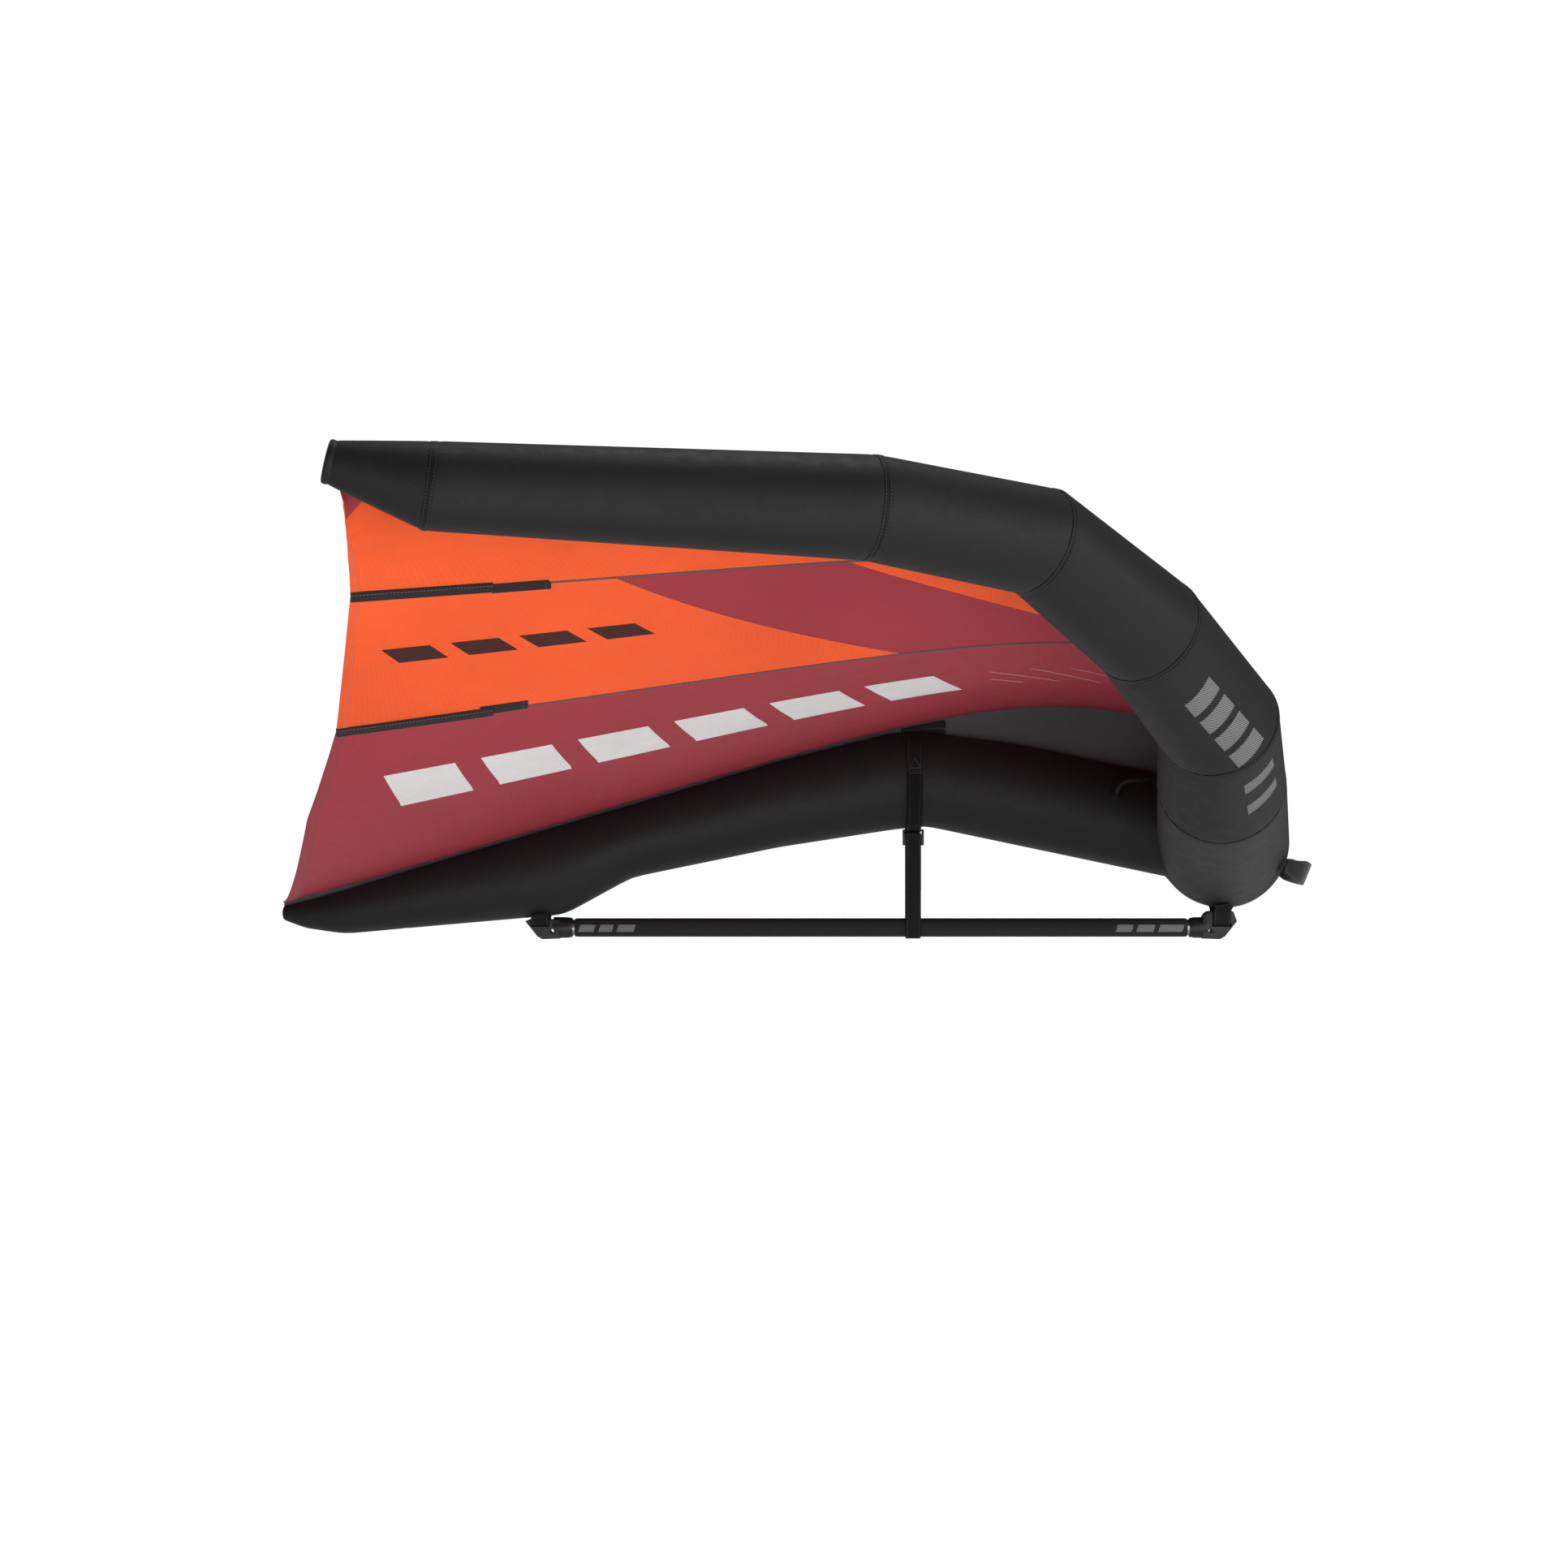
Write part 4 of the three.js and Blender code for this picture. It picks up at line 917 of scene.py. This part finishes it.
# Battens
# Flat pultruded rods that stiffen the trailing edge. They lie hidden in their pockets.
def scuffed_group():
    """Moulding grain and rubbed patches for hard parts, from their place on the object."""
    tree, given, out = node_group(
        "scuffed",
        [("Colour", "NodeSocketColor", (0.5, 0.5, 0.5, 1)), ("Roughness", "NodeSocketFloat", 0.5),
         ("Grain", "NodeSocketFloat", 900.0), ("Depth", "NodeSocketFloat", 0.00004)],
        [("Colour", "NodeSocketColor"), ("Roughness", "NodeSocketFloat"), ("Normal", "NodeSocketVector")],
    )
    place = put(tree, "ShaderNodeTexCoord").outputs["Object"]
    grain = put(tree, "ShaderNodeTexNoise", Vector=place, Scale=given.outputs["Grain"],
                Detail=3.0).outputs["Fac"]
    rubs = put(tree, "ShaderNodeTexNoise", Vector=place, Scale=60.0, Detail=6.0, Roughness=0.7).outputs["Fac"]
    shade = maths(tree, "ADD", ramp(tree, rubs, 0.45, 0.75, 0.96, 1.22),
                  ramp(tree, grain, 0.3, 0.7, -0.05, 0.05))
    rough = maths(tree, "ADD", given.outputs["Roughness"], ramp(tree, rubs, 0.4, 0.7, -0.06, 0.10))
    height = maths(tree, "MULTIPLY", grain, given.outputs["Depth"])
    bump = put(tree, "ShaderNodeBump", Strength=1.0, Distance=1.0, Height=height)
    tree.links.new(tinted(tree, given.outputs["Colour"], shade), out.inputs["Colour"])
    tree.links.new(rough, out.inputs["Roughness"])
    tree.links.new(bump.outputs["Normal"], out.inputs["Normal"])
    return tree


SCUFFED = scuffed_group()


def hard(name, colour, roughness, grain=900.0, depth=0.00004, metallic=0.0, specular=0.3):
    material, shader = plain(name, colour, roughness)
    tree = material.node_tree
    wear = put(tree, "ShaderNodeGroup", {"node_tree": SCUFFED}, Colour=(*colour, 1), Roughness=roughness,
               Grain=grain, Depth=depth)
    tree.links.new(wear.outputs["Colour"], shader.inputs["Base Color"])
    tree.links.new(wear.outputs["Roughness"], shader.inputs["Roughness"])
    tree.links.new(wear.outputs["Normal"], shader.inputs["Normal"])
    shader.inputs["Metallic"].default_value = metallic
    shader.inputs["Specular IOR Level"].default_value = specular
    return material


ROD = hard("batten_rod", (0.024, 0.025, 0.028), 0.4, grain=400.0)
for word in SIDES:
    for place in ("inner", "outer"):
        finish_node(f"batten_{place}_{word}", ROD)

# Boom
# A straight alloy tube in a sleeve of dense black foam, with a glued moulded head at each end. Each
# head has a see-through leash hole and a slot for the webbing band that holds it to the strut.
GRIP_R = 0.0153
GRIP_HALF = 0.505
GRIP_ROUND = 64
GRIP_BLACK = (0.0155, 0.0155, 0.0165)
MOULDED_BLACK = (0.0125, 0.0125, 0.0135)
GRIP_PRINTS = [(-0.495, -0.470), (-0.462, -0.440), (-0.432, -0.404),
               (0.390, 0.416), (0.424, 0.452), (0.460, 0.500)]


def softened(node, width, body):
    """A finished copy of a CAD part: its flat faces made whole and its sharp edges rounded over."""
    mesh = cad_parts[node].data.copy()
    work = bmesh.new()
    work.from_mesh(mesh)
    bmesh.ops.remove_doubles(work, verts=work.verts, dist=2e-6)
    bmesh.ops.dissolve_limit(work, angle_limit=math.radians(1), verts=work.verts, edges=work.edges)
    edges = [e for e in work.edges if len(e.link_faces) == 2 and e.calc_face_angle(0) > math.radians(38)]
    bmesh.ops.bevel(work, geom=edges, offset=width, offset_type="OFFSET", segments=2, profile=0.6,
                    affect="EDGES", clamp_overlap=True)
    bmesh.ops.triangulate(work, faces=[f for f in work.faces if len(f.verts) > 4])
    work.to_mesh(mesh)
    work.free()
    mesh.materials.clear()
    piece = show(f"{node}_finished", mesh)
    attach(piece, body)
    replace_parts(piece, node)
    return piece


def dress(piece, material):
    piece.data.materials.append(material)


finish_node("boom_tube", hard("boom_alloy", (0.30, 0.31, 0.32), 0.33, metallic=1.0))
FOAM = hard("grip_foam", GRIP_BLACK, 0.85, grain=1500.0, depth=0.00022, specular=0.25)
profile = [(0.0135, -GRIP_HALF), (0.0144, -GRIP_HALF), (0.0151, -GRIP_HALF + 0.0022),
           (GRIP_R, -GRIP_HALF + 0.006),
           *((GRIP_R, mix(-GRIP_HALF, GRIP_HALF, 0.02 + 0.96 * k / 40)) for k in range(41)),
           (GRIP_R, GRIP_HALF - 0.006), (0.0151, GRIP_HALF - 0.0022), (0.0144, GRIP_HALF),
           (0.0135, GRIP_HALF), (0.0135, -GRIP_HALF)]
rows = [[Vector((x, radius * math.cos(2 * math.pi * k / GRIP_ROUND),
                 radius * math.sin(2 * math.pi * k / GRIP_ROUND)))
         for k in range(GRIP_ROUND)] for radius, x in profile]
around = [GRIP_R * 2 * math.pi * k / GRIP_ROUND for k in range(GRIP_ROUND + 1)]
piece = lofted("grip", rows, around, [x for radius, x in profile], True, FOAM)
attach(piece, "wing")
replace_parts(piece, "boom_grip")
for k, ends in enumerate(GRIP_PRINTS):
    def place(a, b, height, ends=ends):
        angle = math.radians(mix(160, 205, b))
        radius = GRIP_R + height
        return Vector((mix(*ends, a) - 0.004 * b, radius * math.cos(angle), radius * math.sin(angle)))
    piece = patch(f"grip_bar_{k}", place, (6, 8), (-0.0004, INK_RISE), GREY_PRINT)
MOULDED = hard("moulded_plastic", MOULDED_BLACK, 0.42)
for end in ("front", "rear"):
    dress(softened(f"boom_fitting_{end}", 0.0011, "wing"), MOULDED)

# Webbing
# Woven nylon bands and straps, with a rib across the weave and rows of stitches near their edges.
# The mount bands pass through the boom heads, and the mid strap runs from the strut round the boom.
WEBBING_THICK = 0.0024
WEBBING_BLACK = (0.0125, 0.0125, 0.0130)
STRAP_X, STRAP_WIDTH = 0.053, 0.025
BUCKLE_Y, BUCKLE_Z = -0.012, 0.149
LOOP_R = GRIP_R + 0.002
STRAP_CLEARANCE = 0.0024
STRAP_FROM, STRAP_TO, STRAP_STEPS = 58, -70, 12
BAND_X, BAND_WIDTH, BAND_THICK, BAND_SIDE, SLOT_Z = 0.561, 0.029, 0.0050, 0.0186, 0.005
SHOULDERS = {"front": (0.044, 0.037, 0.030), "rear": (0.042, 0.022, 0.012)}
RIBBON = [(-1, 0), (-0.96, 0.46), (-0.5, 0.5), (0, 0.5), (0.5, 0.5), (0.96, 0.46),
          (1, 0), (0.96, -0.46), (0.5, -0.5), (0, -0.5), (-0.5, -0.5), (-0.96, -0.46)]


def webbing_group():
    """Close ribs across the band with a herringbone between them, from a UV map in metres."""
    tree, given, out = node_group(
        "webbing",
        [("Colour", "NodeSocketColor", (0.5, 0.5, 0.5, 1)), ("Roughness", "NodeSocketFloat", 0.8)],
        [("Colour", "NodeSocketColor"), ("Roughness", "NodeSocketFloat"), ("Normal", "NodeSocketVector")],
    )
    uv = put(tree, "ShaderNodeUVMap").outputs["UV"]
    split = put(tree, "ShaderNodeSeparateXYZ", Vector=uv).outputs
    ribs = maths(tree, "SINE", maths(tree, "MULTIPLY", split[0], 4200.0))
    yarns = maths(tree, "SINE", maths(tree, "MULTIPLY", maths(tree, "ADD", split[1], split[0]), 3100.0))
    fuzz = put(tree, "ShaderNodeTexNoise", Vector=uv, Scale=420.0, Detail=4.0).outputs["Fac"]
    weave = maths(tree, "ADD", maths(tree, "MULTIPLY", ribs, 0.6), maths(tree, "MULTIPLY", yarns, 0.4))
    shade = maths(tree, "ADD", ramp(tree, weave, -1.0, 1.0, 0.72, 1.22),
                  ramp(tree, fuzz, 0.3, 0.7, -0.10, 0.10))
    bump = put(tree, "ShaderNodeBump", Strength=1.0, Distance=1.0,
               Height=maths(tree, "MULTIPLY", weave, 0.00016))
    rough = maths(tree, "ADD", given.outputs["Roughness"], ramp(tree, fuzz, 0.3, 0.7, -0.05, 0.05))
    tree.links.new(tinted(tree, given.outputs["Colour"], shade), out.inputs["Colour"])
    tree.links.new(rough, out.inputs["Roughness"])
    tree.links.new(bump.outputs["Normal"], out.inputs["Normal"])
    return tree


RIBBED = webbing_group()


def webbing(name, colour, stitch_row, thread):
    material, shader = plain(name, colour, 0.8)
    tree = material.node_tree
    weave = put(tree, "ShaderNodeGroup", {"node_tree": RIBBED}, Colour=(*colour, 1), Roughness=0.8)
    rows = put(tree, "ShaderNodeGroup", {"node_tree": STITCHES}, Row=stitch_row, Pitch=0.0038)
    blend = {"data_type": "RGBA", "blend_type": "MIX"}
    shade = put(tree, "ShaderNodeMix", blend, _0=rows.outputs["Mask"], _6=weave.outputs["Colour"],
                _7=(thread, thread, thread, 1)).outputs[2]
    tree.links.new(shade, shader.inputs["Base Color"])
    tree.links.new(weave.outputs["Roughness"], shader.inputs["Roughness"])
    tree.links.new(weave.outputs["Normal"], shader.inputs["Normal"])
    shader.inputs["Specular IOR Level"].default_value = 0.12
    return material


def eased(route, rounds=2):
    """Rounds a route's corners by cutting them, keeping both ends."""
    for _ in range(rounds):
        cut = [route[0]]
        for a, b in zip(route, route[1:]):
            cut += [tuple(mix(p, q, 0.25) for p, q in zip(a, b)),
                    tuple(mix(p, q, 0.75) for p, q in zip(a, b))]
        route = [*cut, route[-1]]
    return route


def band(name, route, x, width, material, thick=WEBBING_THICK):
    """A webbing band of constant width along X, laid along a route of (y, z) points."""
    rows, along = [], [0.0]
    for k, (y, z) in enumerate(route):
        before, after = Vector(route[max(k - 1, 0)]), Vector(route[min(k + 1, len(route) - 1)])
        run = (after - before).normalized()
        rows.append([Vector((x + share * width / 2, y - run.y * rise * thick, z + run.x * rise * thick))
                     for share, rise in RIBBON])
        if k:
            along.append(along[-1] + (Vector(route[k]) - Vector(route[k - 1])).length)
    across = [share * width / 2 for share, rise in RIBBON]
    piece = lofted(name, rows, [*across, across[0]], along, True, material)
    close_ends(piece)
    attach(piece, "wing")
    return piece


def round_strut(side, first=STRAP_FROM, last=STRAP_TO, out=0.0):
    """Points round one side of the strut, clear of its cloth."""
    ends = [strut_at(STRAP_X + end * STRAP_WIDTH / 2) for end in (-1, 1)]
    top, bottom = max(end[0] for end in ends), min(end[1] for end in ends)
    half = max(end[2] for end in ends)
    clear = STRAP_CLEARANCE + out
    points = []
    for k in range(STRAP_STEPS + 1):
        angle = math.radians(mix(first, last, k / STRAP_STEPS))
        points.append((side * (half + clear) * math.cos(angle),
                       (top + bottom) / 2 + ((top - bottom) / 2 + clear) * math.sin(angle)))
    return points


STRAP_CLOTH = webbing("strap_webbing", WEBBING_BLACK, 0.0098, 0.055)
BAND_CLOTH = webbing("band_webbing", WEBBING_BLACK, 0.0118, 0.060)
# Painted shade: a webbing at half the strap's black, for the strap's shaded part low on the strut.
STRAP_SHADE_WEBBING = webbing("webbing_painted_shade", tuple(0.5 * c for c in WEBBING_BLACK), 0.0085, 0.03)
for end, (shoulder_y, shoulder_z, rise) in SHOULDERS.items():
    half = [(shoulder_y, shoulder_z), (BAND_SIDE + 0.003, rise), (BAND_SIDE, SLOT_Z + 0.006),
            (BAND_SIDE - 0.003, SLOT_Z)]
    route = [(-y, z) for y, z in half] + list(reversed(half))
    x = BAND_X if end == "front" else -BAND_X
    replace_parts(band(f"band_{end}", eased(route), x, BAND_WIDTH, BAND_CLOTH, BAND_THICK), f"mount_band_{end}")
upper = [*round_strut(-1), (BUCKLE_Y, BUCKLE_Z + 0.010)]
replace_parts(band("strap_upper_webbing", eased(upper), STRAP_X, STRAP_WIDTH, STRAP_CLOTH), "strap_upper")
turn = [(LOOP_R * math.cos(math.pi * (1 + k / 8)), LOOP_R * math.sin(math.pi * (1 + k / 8)))
        for k in range(9)]
loop = [(BUCKLE_Y, BUCKLE_Z - 0.010), (0.001 - LOOP_R, 0.040), *turn, (LOOP_R, BUCKLE_Z),
        *reversed(round_strut(1))]
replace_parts(band("strap_loop_webbing", eased(loop), STRAP_X, STRAP_WIDTH, STRAP_CLOTH), "strap_loop")
tail = [(BUCKLE_Y - 0.008, BUCKLE_Z + 0.008), (BUCKLE_Y - 0.0095, BUCKLE_Z - 0.030),
        (BUCKLE_Y - 0.0078, BUCKLE_Z - 0.062), (BUCKLE_Y - 0.0085, BUCKLE_Z - 0.088)]
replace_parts(band("strap_tail_webbing", eased(tail), STRAP_X, STRAP_WIDTH, STRAP_CLOTH), "strap_tail")
# A darker band laid over the strap low on the strut's near side is painted shade, where the strap hangs in
# shadow.
band("strap_painted_shade", eased(round_strut(-1, 6, -58, out=WEBBING_THICK)), STRAP_X,
     STRAP_WIDTH - 0.002, STRAP_SHADE_WEBBING)

STITCH_MARKS = [((-0.009, 14), (0.009, 14)), ((-0.009, 14), (0.0, 26)),
                ((0.009, 14), (0.0, 26)), ((-0.010, 8), (0.010, 8))]
STITCH_HALF = 0.0005
THREAD = hard("strap_thread", (0.045, 0.045, 0.047), 0.7, grain=2500.0, depth=0.0001, specular=0.2)


def strap_face(x, degrees, out):
    """A point on the upper strap's outer face, right of the strut."""
    y, z = round_strut(-1, degrees, degrees, out=WEBBING_THICK / 2 + out)[0]
    return Vector((STRAP_X + x, y, z))


for k, ((x0, angle0), (x1, angle1)) in enumerate(STITCH_MARKS):
    def place(a, b, height, x0=x0, x1=x1, angle0=angle0, angle1=angle1):
        flat = STITCH_HALF * (2 * b - 1)
        return strap_face(mix(x0, x1, a) + flat, mix(angle0, angle1, a) + math.degrees(flat / 0.08), height)
    piece = patch(f"strap_stitch_{k}", place, (12, 1), (-0.0004, 0.0005), THREAD)

# Buckle
# A moulded cam buckle: the frame hangs on the strap, and its lever turns on a pin between the cheeks
# to pinch the free end.
dress(softened("buckle_frame", 0.0014, "wing"), MOULDED)
dress(softened("buckle_lever", 0.0006, "buckle_lever"), MOULDED)

# Nose handle
# A padded webbing arch across the nose, that hangs on two sewn tabs and folds up or down on them.
HANDLE_ANGLE = math.radians(-22)
HANDLE_HALF, HANDLE_HINGE, HANDLE_TOP, HANDLE_WIDTH = 0.080, 0.100, 0.146, 0.038
HANDLE_STEPS = 48
PAD_RISE = 0.0016
PAD_INSET = 0.002
PAD_RUN = 0.26


def handle_place(reach, y, across):
    nose = Vector(EDGE_RINGS[0][:3])
    outward = Vector((math.cos(HANDLE_ANGLE), 0, math.sin(HANDLE_ANGLE)))
    return nose + outward * reach + Vector((0, y, 0)) + outward.cross(Vector((0, 1, 0))) * across


HANDLE_PAD = cloth("handle_pad", (0.021, 0.021, 0.022), roughness=0.75, crease=0.25, grid_depth=0.1,
                   sheen=0.3, stitch_row=0.0155, thread=0.06)
rows, along = [], []
for k in range(HANDLE_STEPS + 1):
    angle = math.pi * k / HANDLE_STEPS
    bow = math.sin(angle) ** 0.6 if 0 < k < HANDLE_STEPS else 0.0
    pad = 0.0018 + PAD_RISE * min(1.0, 1.6 * math.sin(angle))
    inward = (HANDLE_HALF - PAD_INSET) * -math.cos(angle)
    reach = HANDLE_HINGE + (HANDLE_TOP - HANDLE_HINGE - PAD_INSET) * bow
    width = HANDLE_WIDTH * mix(0.62, 1.0, min(1.0, 2.2 * math.sin(angle)))
    rows.append([handle_place(reach + rise * 2 * pad * math.sin(angle),
                              inward - rise * 2 * pad * math.cos(angle),
                              share * width / 2) for share, rise in RIBBON])
    along.append(PAD_RUN * k / HANDLE_STEPS)
across = [*(share * HANDLE_WIDTH / 2 for share, rise in RIBBON), -HANDLE_WIDTH / 2]
piece = lofted("handle_pad", rows, across, along, True, HANDLE_PAD)
close_ends(piece)
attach(piece, "handle")
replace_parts(piece, "front_handle")
TAB_CLOTH = hard("tab_webbing", WEBBING_BLACK, 0.8, grain=1400.0, depth=0.0002, specular=0.2)
for word in SIDES:
    dress(softened(f"handle_tab_{word}", 0.0007, "wing"), TAB_CLOTH)

# Hose and valve
# A short soft hose joins the strut's air to the leading edge's, pushed on a welded stub at each end.
# The inflation valve is a flanged cup with a plug cap on a strap.
HOSE_R = 0.005
HOSE_ROUND = 24
HOSE_ROUTE = [
    (0.379, -0.0898, 0.2224), (0.3794, -0.095, 0.2245), (0.381, -0.099, 0.231), (0.387, -0.101, 0.239),
    (0.397, -0.1015, 0.2435), (0.411, -0.101, 0.245), (0.426, -0.098, 0.246), (0.440, -0.093, 0.2475),
    (0.4505, -0.088, 0.2483), (0.4576, -0.0862, 0.2434),
]
RUBBER = hard("hose_rubber", (0.006, 0.006, 0.0065), 0.55, grain=500.0, depth=0.00003, specular=0.2)


def tube(name, route, radius, material):
    """A round hose along an eased route."""
    route = [Vector(point) for point in eased(route)]
    rows, along, guide = [], [0.0], Vector((0, 1, 0))
    for k, point in enumerate(route):
        run = (route[min(k + 1, len(route) - 1)] - route[max(k - 1, 0)]).normalized()
        guide = (guide - run * guide.dot(run)).normalized()
        other = run.cross(guide)
        turns = [2 * math.pi * j / HOSE_ROUND for j in range(HOSE_ROUND)]
        rows.append([point + radius * (guide * math.cos(turn) + other * math.sin(turn)) for turn in turns])
        if k:
            along.append(along[-1] + (point - route[k - 1]).length)
    around = [2 * math.pi * radius * j / HOSE_ROUND for j in range(HOSE_ROUND + 1)]
    piece = lofted(name, rows, around, along, True, material)
    close_ends(piece)
    return piece


piece = tube("hose_tube", HOSE_ROUTE, HOSE_R, RUBBER)
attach(piece, "wing")
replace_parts(piece, "hose")
for node in ("hose_stub_strut", "hose_stub_edge", "valve_base"):
    dress(softened(node, 0.0005, "wing"), MOULDED)
dress(softened("valve_cap", 0.0006, "valve_cap"), MOULDED)
